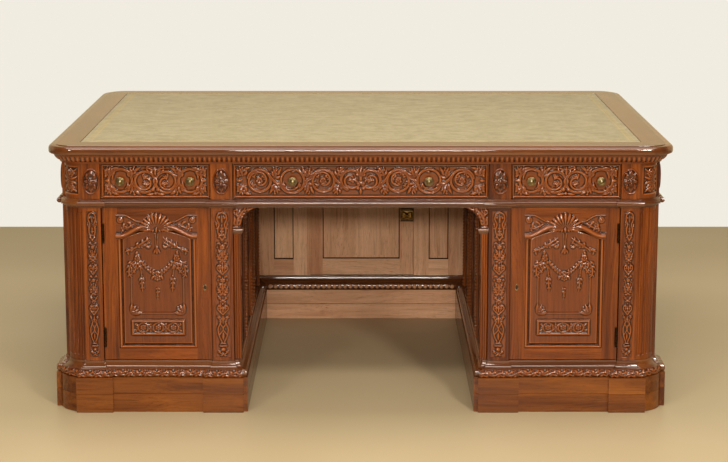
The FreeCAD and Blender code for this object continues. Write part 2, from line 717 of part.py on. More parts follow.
def hinge_block(pin, hand, out, u0, u1, w0, w1, z0, z1):
    """Block given from a hinge pin: u runs toward the door, w toward the side it opens to."""
    x, y = pin
    return box(x + hand * u0, x + hand * u1, y + out * w0, y + out * w1, z0, z1)


def hinge_middle(height):
    """Bottom and top of the middle knuckle of a hinge at a height."""
    half = HINGE_HEIGHT * MIDDLE_KNUCKLE_SHARE / 2
    return height - half, height + half


def fixed_hinge(pin, hand, out, height):
    """Jamb leaf with its two outer knuckles and the pin."""
    x, y = pin
    low = height - HINGE_HEIGHT / 2
    high = height + HINGE_HEIGHT / 2
    mid_low, mid_high = hinge_middle(height)
    jamb = -PIN_FROM_JAMB
    face = -PIN_FROM_FACE
    leaf = hinge_block(pin, hand, out, jamb, jamb + LEAF_THICKNESS, face - LEAF_WIDTH, face, low, high)
    solids = [upright(PIN_RADIUS, x, y, low, high)]
    for z0, z1 in ((low, mid_low), (mid_high, high)):
        solids.append(upright(BARREL_RADIUS, x, y, z0, z1))
        solids.append(hinge_block(pin, hand, out, jamb, jamb + LEAF_THICKNESS, face, 0, z0, z1))
    return leaf.multiFuse(solids).removeSplitter().Solids[0]


def moving_hinge(pin, hand, out, height):
    """Door leaf with the middle knuckle, bored for the pin."""
    x, y = pin
    low = height - HINGE_HEIGHT / 2
    high = height + HINGE_HEIGHT / 2
    mid_low, mid_high = hinge_middle(height)
    mid_low = mid_low + KNUCKLE_GAP
    mid_high = mid_high - KNUCKLE_GAP
    edge = HINGE_GAP - PIN_FROM_JAMB
    face = -PIN_FROM_FACE
    leaf = hinge_block(pin, hand, out, edge - LEAF_THICKNESS, edge, face - LEAF_WIDTH, face, low, high)
    neck = hinge_block(pin, hand, out, edge - LEAF_THICKNESS, edge, face, 0, mid_low, mid_high)
    barrel = upright(BARREL_RADIUS, x, y, mid_low, mid_high)
    bore = upright(PIN_RADIUS + PIN_FIT, x, y, mid_low - OVERRUN, mid_high + OVERRUN)
    return leaf.multiFuse([neck, barrel]).cut(bore).removeSplitter().Solids[0]


def lock_case(edge, way, y_back, out, height):
    """Rim lock on the inner face of a door, open at the edge for its bolt; way points to the free edge."""
    half = LOCK_HEIGHT / 2
    case = box(edge - way * LOCK_WIDTH, edge, y_back, y_back - out * LOCK_DEPTH, height - half, height + half)
    slot = bolt_block(edge, way, y_back, out, height, BOLT_FIT)
    return case.cut(slot).Solids[0]


def bolt_block(edge, way, y_back, out, height, fit):
    """Bolt of a rim lock at rest, or the slot it runs in when widened by the fit."""
    end = edge - way * BOLT_SETBACK
    if fit:
        end = edge + way * OVERRUN
    near = y_back - out * (BOLT_STANDOFF - fit)
    far = y_back - out * (BOLT_STANDOFF + BOLT_THICKNESS + fit)
    half = BOLT_HEIGHT / 2 + fit
    tail = edge - way * (BOLT_SETBACK + BOLT_LENGTH + fit)
    return box(tail, end, near, far, height - half, height + half)


def front_door_edges(side):
    """Hinge edge and free edge of a front door, signed."""
    return side * (OPENING_OUTER - HINGE_GAP), side * (OPENING_INNER + DOOR_GAP)


def keyhole(x, y_front, out):
    """Keyhole cutter: a round eye over a slot."""
    deep = y_front - out * KEYHOLE_DEPTH
    near = y_front + out * OVERRUN
    eye = along_y(KEYHOLE_RADIUS, x, KEYHOLE_HEIGHT, deep, near)
    slot = box(x - KEYHOLE_SLOT / 2, x + KEYHOLE_SLOT / 2, deep, near, KEYHOLE_HEIGHT - KEYHOLE_LENGTH,
               KEYHOLE_HEIGHT)
    return eye.fuse(slot)


def front_door(side):
    """Frame, panel, crest, hardware and bolt of one front door."""
    hinge_edge, free_edge = front_door_edges(side)
    way = -side
    frame = framed_door(hinge_edge, free_edge, -MAIN_Y, -BACK_Y, DOOR_GAP)
    cut = keyhole(free_edge - way * KEYHOLE_INSET, -MAIN_Y, -1)
    frame = [board.cut(cut).Solids[0] for board in frame]
    panel = arched_panel(hinge_edge, free_edge, -MAIN_Y, -BACK_Y, DOOR_GAP)
    crest = door_crest(hinge_edge, free_edge, -MAIN_Y, -1, DOOR_GAP)
    pin = (pin_x(side), front_pin_y())
    hardware = [moving_hinge(pin, way, -1, height) for height in (HINGE_LOW, HINGE_HIGH)]
    hardware.append(lock_case(free_edge, way, -BACK_Y, -1, KEYHOLE_HEIGHT))
    bolt = bolt_block(free_edge, way, -BACK_Y, -1, KEYHOLE_HEIGHT, 0)
    return frame, panel, crest, hardware, bolt


def blind_back(side):
    """Fixed door-shaped frame and panel at the back of one pedestal."""
    solids = framed_door(side * OPENING_OUTER, side * OPENING_INNER, MAIN_Y, BACK_Y, 0)
    solids.append(arched_panel(side * OPENING_OUTER, side * OPENING_INNER, MAIN_Y, BACK_Y, 0))
    return solids


def hinge_heights():
    """Heights of the two hinges of a door."""
    return (HINGE_LOW, HINGE_HIGH)


def front_fixed_hinges():
    """Jamb halves of the front door hinges."""
    return [fixed_hinge((pin_x(side), front_pin_y()), -side, -1, height)
            for side in SIDES.values() for height in hinge_heights()]


def frieze_stiles():
    """Flat stiles between drawers and panels, above the pilasters."""
    solids = []
    for side in SIDES.values():
        for end_y in ENDS:
            for inner, outer in ((OPENING_OUTER, COLUMN_X), (KNEE_X, OPENING_INNER)):
                solids.append(box(side * inner, side * outer, end_y * BACK_Y, end_y * FACE_Y, FRIEZE_BOTTOM,
                                  CORNICE_BOTTOM))
        for y0, y1 in end_pilaster_spans():
            solids.append(box(side * BACK_X, side * FACE_X, y0, y1, FRIEZE_BOTTOM, CORNICE_BOTTOM))
    return solids


def rosettes():
    """Oval carved bosses in the middle of every frieze stile."""
    height = (FRIEZE_BOTTOM + CORNICE_BOTTOM) / 2
    solids = []
    for side in SIDES.values():
        for end_y in ENDS:
            for x in ((OPENING_OUTER + COLUMN_X) / 2, (KNEE_X + OPENING_INNER) / 2):
                solids.append(oval_boss(vec(side * x, end_y * FACE_Y, height), vec(0, end_y, 0)))
        for y0, y1 in end_pilaster_spans():
            solids.append(oval_boss(vec(side * FACE_X, (y0 + y1) / 2, height), vec(side, 0, 0)))
    return solids


def oval_boss(centre, way):
    """Upright oval plate that stands out from a face along a direction."""
    tall = centre + vec(0, 0, ROSETTE_HEIGHT / 2)
    across = centre + way.cross(vec(0, 0, ROSETTE_WIDTH / 2))
    edge = Part.Ellipse(tall, across, centre).toShape()
    return outline([edge]).extrude(way * ROSETTE_THICKNESS)


def frieze_panels():
    """Fixed carved boards of the frieze: three at the back and two at each end."""
    solids = []
    for x0, x1 in ((-OPENING_OUTER, -OPENING_INNER), (-KNEE_X, KNEE_X), (OPENING_INNER, OPENING_OUTER)):
        solids.append(box(x0, x1, BACK_Y, MAIN_Y, FRIEZE_BOTTOM, CORNICE_BOTTOM))
    for side in SIDES.values():
        for y0, y1 in end_panel_spans():
            solids.append(box(side * BACK_X, side * MAIN_X, y0, y1, FRIEZE_BOTTOM, CORNICE_BOTTOM))
    return solids


def rail_frame(z0, z1, cross):
    """Rails behind a moulding: front, back and two ends, with a cross rail when asked for."""
    inner_y = RAIL_Y - RAIL_DEPTH
    rails = [box(-COLUMN_X, COLUMN_X, end_y * inner_y, end_y * RAIL_Y, z0, z1) for end_y in ENDS]
    for side in SIDES.values():
        rails.append(box(side * (RAIL_X - RAIL_DEPTH), side * RAIL_X, -inner_y, inner_y, z0, z1))
    if cross:
        half = RAIL_X - RAIL_DEPTH
        rails.append(box(-half, half, -RAIL_DEPTH, 0, z0, z1))
    return rails


def waist_moulding():
    """Waist moulding round the whole desk, broken forward at the pilasters."""
    slope = corner_slope(WAIST_NOSE)
    runs = [moulding_run(waist_front_path(end_y), waist_section, -end_y, slope) for end_y in ENDS]
    runs = runs + [moulding_run(end_path(side), waist_section, -side, slope) for side in SIDES.values()]
    corners = [mitred_corner(waist_section, side, end_y, slope) for side in SIDES.values() for end_y in ENDS]
    return runs + corners


def cornice_moulding():
    """Cornice round the whole desk under the top, without breaks."""
    pieces = []
    for end in ENDS:
        front = [(end * COLUMN_X, end * FACE_Y), (-end * COLUMN_X, end * FACE_Y)]
        pieces.append(moulding_run(front, cornice_section, -1))
        flank = [(end * FACE_X, -end * COLUMN_Y), (end * FACE_X, end * COLUMN_Y)]
        pieces.append(moulding_run(flank, cornice_section, -1))
        for end_y in ENDS:
            pieces.append(moulding_corner(cornice_section, end, end_y, COLUMN_RADIUS + FACE_STEP))
    return pieces


def desktop():
    """Top with rounded corners, a rounded moulded edge and a bed for the leather."""
    body = rounded_slab(0, TOP_BOTTOM, DESK_HEIGHT - TOP_STEP)
    body = round_rim(body, DESK_HEIGHT - TOP_STEP, TOP_ROUND)
    body = round_rim(body, TOP_BOTTOM, TOP_UNDER_ROUND)
    raised = rounded_slab(TOP_STEP_INSET, DESK_HEIGHT - TOP_STEP, DESK_HEIGHT)
    x = TOP_WIDTH / 2 - LEATHER_BORDER
    y = TOP_DEPTH / 2 - LEATHER_BORDER
    bed = box(-x, x, -y, y, DESK_HEIGHT - LEATHER_THICKNESS, DESK_HEIGHT + OVERRUN)
    return body.fuse(raised).removeSplitter().cut(bed).Solids[0]


def rounded_slab(inset, z0, z1):
    """Board of the top's plan, smaller all round by an inset."""
    x = TOP_WIDTH / 2 - inset
    y = TOP_DEPTH / 2 - inset
    slab = box(-x, x, -y, y, z0, z1)
    corners = [edge for edge in slab.Edges if abs(edge.BoundBox.ZLength - (z1 - z0)) < OVERRUN / TOP_WIDTH]
    return slab.makeFillet(TOP_CORNER_RADIUS - inset, corners)


def round_rim(slab, z, radius):
    """Slab with the rim at one height rounded."""
    close = OVERRUN / TOP_WIDTH
    level = [edge for edge in slab.Edges if edge.BoundBox.ZLength < close]
    rim = [edge for edge in level if abs(edge.BoundBox.ZMin - z) < close]
    return slab.makeFillet(radius, rim)


def leather():
    """Leather sheet in the bed of the top."""
    x = TOP_WIDTH / 2 - LEATHER_BORDER
    y = TOP_DEPTH / 2 - LEATHER_BORDER
    return box(-x, x, -y, y, DESK_HEIGHT - LEATHER_THICKNESS, DESK_HEIGHT)


def partition_x():
    """Distance of a drawer partition's middle from the middle of the desk."""
    return (OPENING_INNER + KNEE_X) / 2


def drawer_partitions():
    """Boards between the middle drawer and the side drawers."""
    half = PARTITION_THICKNESS / 2
    return [box(side * (partition_x() - half), side * (partition_x() + half), -BACK_Y, 0, FRIEZE_BOTTOM,
                CORNICE_BOTTOM) for side in SIDES.values()]


def drawer_runners():
    """Boards that carry the sides of the drawers."""
    half = PARTITION_THICKNESS / 2
    spans = [(OPENING_OUTER - RUNNER_REACH, OPENING_OUTER + RUNNER_REACH),
             (partition_x() + half, OPENING_INNER + RUNNER_REACH),
             (KNEE_X - RUNNER_REACH, partition_x() - half)]
    return [box(side * x0, side * x1, -BACK_Y, RUNNER_LENGTH - BACK_Y, FRIEZE_BOTTOM,
                FRIEZE_BOTTOM + RUNNER_THICKNESS) for side in SIDES.values() for x0, x1 in spans]


def drawer_spans():
    """Opening of each drawer, left to right."""
    return {"left": (-OPENING_OUTER, -OPENING_INNER), "centre": (-KNEE_X, KNEE_X),
            "right": (OPENING_INNER, OPENING_OUTER)}


def knob_places(name, x0, x1):
    """Knob positions across one drawer front."""
    if name == "centre":
        return (-CENTRE_KNOB_OFFSET, CENTRE_KNOB_OFFSET)
    return (x0 + SIDE_KNOB_INSET, x1 - SIDE_KNOB_INSET)


def drawer_face_y():
    """Depth of the front of a drawer, and of the floor of its sunk field."""
    face = -(FACE_Y - DRAWER_FRONT_SETBACK)
    return face, face + DRAWER_FIELD_SINK


def drawer_front(x0, x1, knobs):
    """Drawer front with a sunk field and a hole for each knob."""
    face, field_y = drawer_face_y()
    back = face + DRAWER_FRONT_THICKNESS
    low = FRIEZE_BOTTOM + DRAWER_GAP
    high = CORNICE_BOTTOM - DRAWER_GAP
    board = box(x0 + DRAWER_GAP, x1 - DRAWER_GAP, face, back, low, high)
    margin = DRAWER_FIELD_MARGIN
    field = box(x0 + margin, x1 - margin, face - OVERRUN, field_y, low + margin - DRAWER_GAP,
                high - margin + DRAWER_GAP)
    middle = (low + high) / 2
    holes = [along_y(KNOB_SHANK_RADIUS + KNOB_FIT, x, middle, face - OVERRUN, back + OVERRUN) for x in knobs]
    return board.cut([field] + holes).Solids[0]


def drawer_box(x0, x1):
    """Sides, back and bottom of a drawer behind its front."""
    y0 = drawer_face_y()[0] + DRAWER_FRONT_THICKNESS
    y1 = y0 + DRAWER_LENGTH
    low = FRIEZE_BOTTOM + RUNNER_THICKNESS + RUNNER_CLEARANCE
    high = low + DRAWER_SIDE_HEIGHT
    outer0 = x0 + DRAWER_SIDE_GAP
    outer1 = x1 - DRAWER_SIDE_GAP
    inner0 = outer0 + DRAWER_SIDE
    inner1 = outer1 - DRAWER_SIDE
    floor = low + DRAWER_BOTTOM_RISE
    first = box(outer0, inner0, y0, y1, low, high)
    second = box(inner1, outer1, y0, y1, low, high)
    back = box(inner0, inner1, y1 - DRAWER_SIDE, y1, floor + DRAWER_BOTTOM, high)
    bottom = box(inner0, inner1, y0, y1, floor, floor + DRAWER_BOTTOM)
    return [first, second, back, bottom]


def knob(x):
    """Turned knob with its shank through the drawer front."""
    face, seat = drawer_face_y()
    middle = (FRIEZE_BOTTOM + CORNICE_BOTTOM) / 2
    back = face + DRAWER_FRONT_THICKNESS
    collar_y = seat - KNOB_COLLAR
    neck_y = collar_y - KNOB_NECK
    head_y = neck_y - KNOB_HEAD
    shank = along_y(KNOB_SHANK_RADIUS, x, middle, seat, back)
    collar = along_y(KNOB_COLLAR_RADIUS, x, middle, collar_y, seat)
    neck = along_y(KNOB_NECK_RADIUS, x, middle, neck_y, collar_y)
    head = along_y(KNOB_RADIUS, x, middle, head_y, neck_y)
    rim = vec(x + KNOB_RADIUS, head_y, middle)
    inner = vec(x, head_y, middle)
    crown = vec(x, head_y - KNOB_DOME, middle)
    shoulder = vec(x + KNOB_RADIUS * math.sqrt(0.5), head_y - KNOB_DOME * math.sqrt(0.5), middle)
    dome = outline([arc(rim, shoulder, crown), line(crown, inner), line(inner, rim)])
    dome = dome.revolve(inner, vec(0, 1, 0), math.degrees(math.pi * 2))
    return shank.multiFuse([collar, neck, head, dome]).removeSplitter().Solids[0]


def kneehole_strips():
    """Flat strips with capitals at the four corners of the kneehole."""
    front = FACE_Y - KNEEHOLE_WALL_SETBACK
    back = front - STRIP_DEPTH
    capital_top = BODY_TOP - BRACKET_DROP
    capital_low = capital_top - CAPITAL_HEIGHT
    solids = []
    for side in SIDES.values():
        for end_y in ENDS:
            shaft = box(side * STRIP_X, side * KNEE_X, end_y * back, end_y * front, BODY_BOTTOM, capital_low)
            notch = box(side * WALL_X, side * (KNEE_X + OVERRUN), end_y * (back - OVERRUN), end_y * BACK_Y,
                        BODY_BOTTOM - OVERRUN, capital_top + OVERRUN)
            capital = box(side * (STRIP_X - CAPITAL_PROJECTION), side * KNEE_X, end_y * back, end_y * front,
                          capital_low, capital_top)
            solids.append(shaft.fuse(capital).cut(notch).removeSplitter().Solids[0])
    return solids


def kneehole_brackets():
    """Spandrel brackets that stand on the capitals under the waist."""
    front = FACE_Y - KNEEHOLE_WALL_SETBACK
    back = BACK_Y
    low = BODY_TOP - BRACKET_DROP
    solids = []
    for side in SIDES.values():
        for end_y in ENDS:
            y = end_y * back
            foot = vec(side * STRIP_X, y, low)
            tip = vec(side * (STRIP_X - BRACKET_REACH), y, BODY_TOP)
            half = 1 - math.sqrt(0.5)
            hollow = vec(side * (STRIP_X - BRACKET_REACH * half), y, BODY_TOP - BRACKET_DROP * half)
            corner = vec(side * KNEE_X, y, BODY_TOP)
            heel = vec(side * KNEE_X, y, low)
            edges = [arc(foot, hollow, tip), line(tip, corner), line(corner, heel), line(heel, foot)]
            solids.append(outline(edges).extrude(vec(0, end_y * (front - back), 0)))
    return solids


def kneehole_beads():
    """Upright bead mouldings on the kneehole walls."""
    solids = []
    for side in SIDES.values():
        for share in BEAD_POSITION_SHARES:
            y = share * FACE_Y
            wall = side * WALL_X
            near = vec(wall, y - BEAD_WIDTH / 2, BODY_BOTTOM)
            far = vec(wall, y + BEAD_WIDTH / 2, BODY_BOTTOM)
            crown = vec(wall - side * BEAD_RISE, y, BODY_BOTTOM)
            bead = outline([arc(near, crown, far), line(far, near)])
            solids.append(bead.extrude(vec(0, 0, BODY_TOP - BODY_BOTTOM)))
    return solids


def kneehole_base(walls):
    """Plinth courses and base moulding under the kneehole panel, on both of its faces."""
    solids = []
    for end_y, plane in ((-1, BACK_PANEL_Y), (1, BACK_PANEL_Y + DOOR_THICKNESS)):
        for section in (lower_plinth_section, upper_plinth_section, base_section):
            run = moulding_run([(-end_y * WALL_X, plane), (end_y * WALL_X, plane)], section, 1)
            solids.append(largest(run.cut(walls)))
    return solids


def plain_frame(x0, x1, stile, z0, z1):
    """Stiles, rails and panel of a plain frame in the kneehole wall."""
    front = BACK_PANEL_Y
    back = front + DOOR_THICKNESS
    inner0 = x0 + stile
    inner1 = x1 - stile
    low = z0 + KNEE_RAIL
    high = z1 - KNEE_RAIL
    frame = [box(x0, inner0, front, back, z0, z1), box(inner1, x1, front, back, z0, z1),
             box(inner0, inner1, front, back, z0, low), box(inner0, inner1, front, back, high, z1)]
    near = front + PANEL_FIELD_RISE
    far = near + PANEL_THICKNESS
    sheet = box(inner0, inner1, near, far, low, high)
    margin = PANEL_FIELD_MARGIN
    field = box(inner0 + margin, inner1 - margin, near - PANEL_FIELD_RISE / 2, near, low + margin,
                high - margin)
    panel = sheet.fuse(field).removeSplitter().Solids[0]
    return frame, panel


def kneehole_fixed():
    """Fixed frames at both sides of the kneehole door."""
    solids = []
    for x0, x1 in ((-WALL_X, -KNEE_DOOR_HALF), (KNEE_DOOR_HALF, WALL_X)):
        frame, panel = plain_frame(x0, x1, KNEE_SIDE_STILE, BODY_BOTTOM, BODY_TOP)
        solids = solids + frame + [panel]
    jamb = -KNEE_DOOR_HALF
    lap = jamb + HINGE_GAP + STOP_LAP
    solids.append(cover_strip(jamb - STOP_SEAT, jamb, lap, BACK_PANEL_Y, -1, BODY_BOTTOM, BODY_TOP))
    return solids


def cover_strip(edge, seat, lap, face, out, z0, z1):
    """Strip that covers a door gap: glued down from edge to seat, clear of what it laps beyond the seat."""
    glued = box(edge, seat, face, face + out * STOP_THICKNESS, z0, z1)
    over = box(seat, lap, face + out * STOP_CLEARANCE, face + out * STOP_THICKNESS, z0, z1)
    return glued.fuse(over).removeSplitter().Solids[0]


def knee_pin():
    """Plan position of the kneehole door's hinge pin, on the visitor's side."""
    return (PIN_FROM_JAMB - KNEE_DOOR_HALF, BACK_PANEL_Y + DOOR_THICKNESS + PIN_FROM_FACE)


def kneehole_door():
    """Frame, panel, hardware and bolt of the door in the kneehole wall."""
    hinge_edge = HINGE_GAP - KNEE_DOOR_HALF
    free_edge = KNEE_DOOR_HALF - DOOR_GAP
    low = BODY_BOTTOM + DOOR_GAP
    high = BODY_TOP - DOOR_GAP
    frame, panel = plain_frame(hinge_edge, free_edge, KNEE_DOOR_STILE, low, high)
    back = BACK_PANEL_Y + DOOR_THICKNESS
    frame.append(cover_strip(free_edge - STOP_SEAT, free_edge, KNEE_DOOR_HALF + STOP_LAP, back, 1, low, high))
    hardware = [moving_hinge(knee_pin(), 1, 1, height) for height in hinge_heights()]
    hardware.append(lock_case(free_edge, 1, BACK_PANEL_Y, 1, KEYHOLE_HEIGHT))
    bolt = bolt_block(free_edge, 1, BACK_PANEL_Y, 1, KEYHOLE_HEIGHT, 0)
    return frame, panel, hardware, bolt


def knee_fixed_hinges():
    """Jamb halves of the kneehole door hinges."""
    return [fixed_hinge(knee_pin(), 1, 1, height) for height in hinge_heights()]


def build():
    """All nodes of the desk, each a list of solids."""
    nodes = {}
    walls = []
    for name, side in SIDES.items():
        plinth = pedestal_ring(side, lower_plinth_section) + pedestal_ring(side, upper_plinth_section)
        base = pedestal_ring(side, base_section)
        walls = walls + plinth + base
        nodes[name + "_plinth"] = plinth
        nodes[name + "_base_moulding"] = base
        nodes[name + "_carcass_boards"] = carcass_boards(side) + [kneehole_side(side)]
        nodes[name + "_outer_side"] = outer_side(side)
        nodes[name + "_pedestal_back"] = blind_back(side)
        nodes[name + "_corner_columns"] = [fluted_column(side, end_y) for end_y in ENDS]
        nodes[name + "_pilasters"] = pilasters(side)
        nodes[name + "_shelf"] = [shelf(side)]
        frame, panel, crest, hardware, bolt = front_door(side)
        nodes[name + "_door_frame"] = frame
        nodes[name + "_door_panel"] = [panel]
        nodes[name + "_door_crest"] = [crest]
        nodes[name + "_door_hardware"] = hardware
        nodes[name + "_lock_bolt"] = [bolt]
    nodes["pilaster_carvings"] = pilaster_carvings()
    nodes["shelf_pins"] = shelf_pins()
    nodes["fixed_hinge_leaves"] = front_fixed_hinges() + knee_fixed_hinges()
    nodes["kneehole_base"] = kneehole_base(walls)
    nodes["kneehole_strips"] = kneehole_strips()
    nodes["kneehole_brackets"] = kneehole_brackets()
    nodes["kneehole_beads"] = kneehole_beads()
    nodes["kneehole_fixed_panels"] = kneehole_fixed()
    frame, panel, hardware, bolt = kneehole_door()
    nodes["kneehole_door_frame"] = frame
    nodes["kneehole_door_panel"] = [panel]
    nodes["kneehole_door_hardware"] = hardware
    nodes["kneehole_lock_bolt"] = [bolt]
    nodes["waist_moulding"] = waist_moulding()
    waist_rails = rail_frame(BODY_TOP, FRIEZE_BOTTOM, True)
    waist_rails = [rail.cut(dowels(DOWEL_FIT)).Solids[0] for rail in waist_rails]
    nodes["frame_rails"] = waist_rails + rail_frame(CORNICE_BOTTOM, TOP_BOTTOM, False)
    nodes["locating_dowels"] = dowels(0)
    posts = [quarter_post(COLUMN_RADIUS, side, end_y, FRIEZE_BOTTOM, CORNICE_BOTTOM)
             for side in SIDES.values() for end_y in ENDS]
    nodes["frieze_corner_posts"] = posts
    nodes["frieze_stiles"] = frieze_stiles()
    nodes["frieze_panels"] = frieze_panels()
    nodes["rosettes"] = rosettes()
    nodes["drawer_partitions"] = drawer_partitions()
    nodes["drawer_runners"] = drawer_runners()
    for name, (x0, x1) in drawer_spans().items():
        knobs = knob_places(name, x0, x1)
        nodes[name + "_drawer_front"] = [drawer_front(x0, x1, knobs)]
        nodes[name + "_drawer_box"] = drawer_box(x0, x1)
        nodes[name + "_drawer_knobs"] = [knob(x) for x in knobs]
    nodes["cornice_moulding"] = cornice_moulding()
    nodes["desktop"] = [desktop()]
    nodes["writing_leather"] = [leather()]
    return nodes


def main():
    """Write every node as its own STEP file."""
    os.makedirs("parts", exist_ok=True)
    for name, solids in build().items():
        shape = solids[0]
        if len(solids) > 1:
            shape = Part.makeCompound(solids)
        shape.exportStep("parts/" + name + ".step")


if __name__ == "__main__":
    main()
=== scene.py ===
"""Carved pedestal desk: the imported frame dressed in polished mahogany, tooled leather and aged brass.

Lengths in this file are millimetres in the frame of the part: X to the right, Y away from the sitter, Z up.
"""

import logging
import math
from dataclasses import dataclass, field
from enum import Enum
from typing import Callable, Iterable, Mapping, Sequence

import bpy
import numpy as np
from bpy.types import Material, Mesh, Node, NodeSocket as Socket, NodeTree, Object
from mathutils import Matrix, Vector


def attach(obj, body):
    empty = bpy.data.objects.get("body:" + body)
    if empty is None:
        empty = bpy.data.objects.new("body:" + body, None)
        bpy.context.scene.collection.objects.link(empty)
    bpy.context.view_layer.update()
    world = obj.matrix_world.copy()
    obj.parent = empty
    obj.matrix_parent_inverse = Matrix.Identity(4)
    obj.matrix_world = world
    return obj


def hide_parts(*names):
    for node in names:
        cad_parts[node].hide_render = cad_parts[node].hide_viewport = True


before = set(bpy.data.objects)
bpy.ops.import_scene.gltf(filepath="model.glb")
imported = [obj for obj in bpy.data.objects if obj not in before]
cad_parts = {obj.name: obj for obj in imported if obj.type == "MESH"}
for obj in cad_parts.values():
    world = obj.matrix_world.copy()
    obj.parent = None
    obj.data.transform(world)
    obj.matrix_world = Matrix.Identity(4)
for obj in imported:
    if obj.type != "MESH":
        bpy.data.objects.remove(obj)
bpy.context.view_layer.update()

LOG = logging.getLogger("desk")
MM = 0.001
TINY = 1e-9
GRAIN_SHIFT = (-4, 4)
Point = tuple[float, float]
Triple = tuple[float, float, float]
Colour = Triple
Array = np.ndarray


def linear(red: int, green: int, blue: int) -> Colour:
    """Turn a screen colour into a linear one.

    Args:
        red: Red, 0 to 255.
        green: Green, 0 to 255.
        blue: Blue, 0 to 255.

    Returns:
        The same colour in linear light.
    """
    def one(level: int) -> float:
        """Linear value of one channel."""
        share = level / 255
        return share / 12.92 if share <= 0.04045 else ((share + 0.055) / 1.055) ** 2.4
    return one(red), one(green), one(blue)


# ---- finishes ----


class NodeSheet:
    """A node tree with short ways to add and join its nodes."""

    def __init__(self, tree: NodeTree) -> None:
        """Keep the tree and empty it."""
        self.tree = tree
        self.tree.nodes.clear()

    def add(self, kind: str, inputs: dict | None = None, **settings: object) -> Node:
        """Add a node.

        Args:
            kind: Blender's name of the node type.
            inputs: Values or sockets for its inputs, by name or number.
            settings: Properties of the node.

        Returns:
            The new node.
        """
        node = self.tree.nodes.new(kind)
        for name, value in settings.items():
            setattr(node, name, value)
        self.fill(node, inputs or {})
        return node

    def fill(self, node: Node, values: dict) -> None:
        """Join or set several inputs of a node, by name or number."""
        for name, value in values.items():
            self.put(node.inputs[name], value)

    def put(self, socket: Socket, value: object) -> None:
        """Join a socket to an input, or set the input's own value.

        Args:
            socket: Input to fill.
            value: Socket, number or colour.
        """
        if isinstance(value, Socket):
            self.tree.links.new(value, socket)
        elif isinstance(value, tuple) and len(value) == 3 and socket.type == "RGBA":
            socket.default_value = (*value, 1.0)
        else:
            socket.default_value = value

    def math(self, operation: str, first: object, second: object = 0.0, third: object = 0.0) -> Socket:
        """Result of one calculation on values, kept as it is."""
        return self.add("ShaderNodeMath", {0: first, 1: second, 2: third}, operation=operation).outputs[0]

    def ramp(self, value: object, low: float, high: float, to_low: float = 0.0, to_high: float = 1.0,
             smooth: bool = True) -> Socket:
        """Value moved from one range to another and held inside it.

        Args:
            value: Socket to read.
            low: Start of the range read.
            high: End of the range read.
            to_low: Result at the start.
            to_high: Result at the end.
            smooth: Whether the change eases in and out.

        Returns:
            The result's socket.
        """
        node = self.add("ShaderNodeMapRange", {0: value, 1: low, 2: high, 3: to_low, 4: to_high},
                        interpolation_type="SMOOTHSTEP" if smooth else "LINEAR")
        return node.outputs[0]

    def mix(self, share: object, first: object, second: object) -> Socket:
        """Colour between two others."""
        return self.add("ShaderNodeMix", {"Factor": share, 6: first, 7: second}, data_type="RGBA").outputs[2]

    def stretch(self, vector: object, scale: Triple) -> Socket:
        """Vector with each part multiplied by its own factor."""
        return self.add("ShaderNodeVectorMath", {0: vector, 1: scale}, operation="MULTIPLY").outputs[0]

    def noise(self, vector: object, scale: float, detail: float = 2.0, roughness: float = 0.5,
              distortion: float = 0.0) -> Socket:
        """Soft random value over a vector.

        Args:
            vector: Place to read.
            scale: Lumps per unit of length.
            detail: Number of finer layers.
            roughness: Share that each finer layer adds.
            distortion: Bend of the lumps.

        Returns:
            The value's socket.
        """
        values = {"Vector": vector, "Scale": scale, "Detail": detail, "Roughness": roughness,
                  "Distortion": distortion}
        return self.add("ShaderNodeTexNoise", values).outputs[0]

    def group(self, tree: NodeTree, inputs: dict) -> Mapping[str, Socket]:
        """Outputs of a shared group placed with these inputs."""
        return self.add("ShaderNodeGroup", inputs, node_tree=tree).outputs

    def bump(self, height: Socket, size: Point) -> Socket:
        """Normal that follows a height; the size is its strength and its distance."""
        values = {"Height": height, "Strength": size[0], "Distance": size[1] * MM}
        return self.add("ShaderNodeBump", values).outputs["Normal"]

    def attribute(self, name: str, output: str) -> Socket:
        """Value that the mesh carries under a name."""
        return self.add("ShaderNodeAttribute", attribute_name=name).outputs[output]


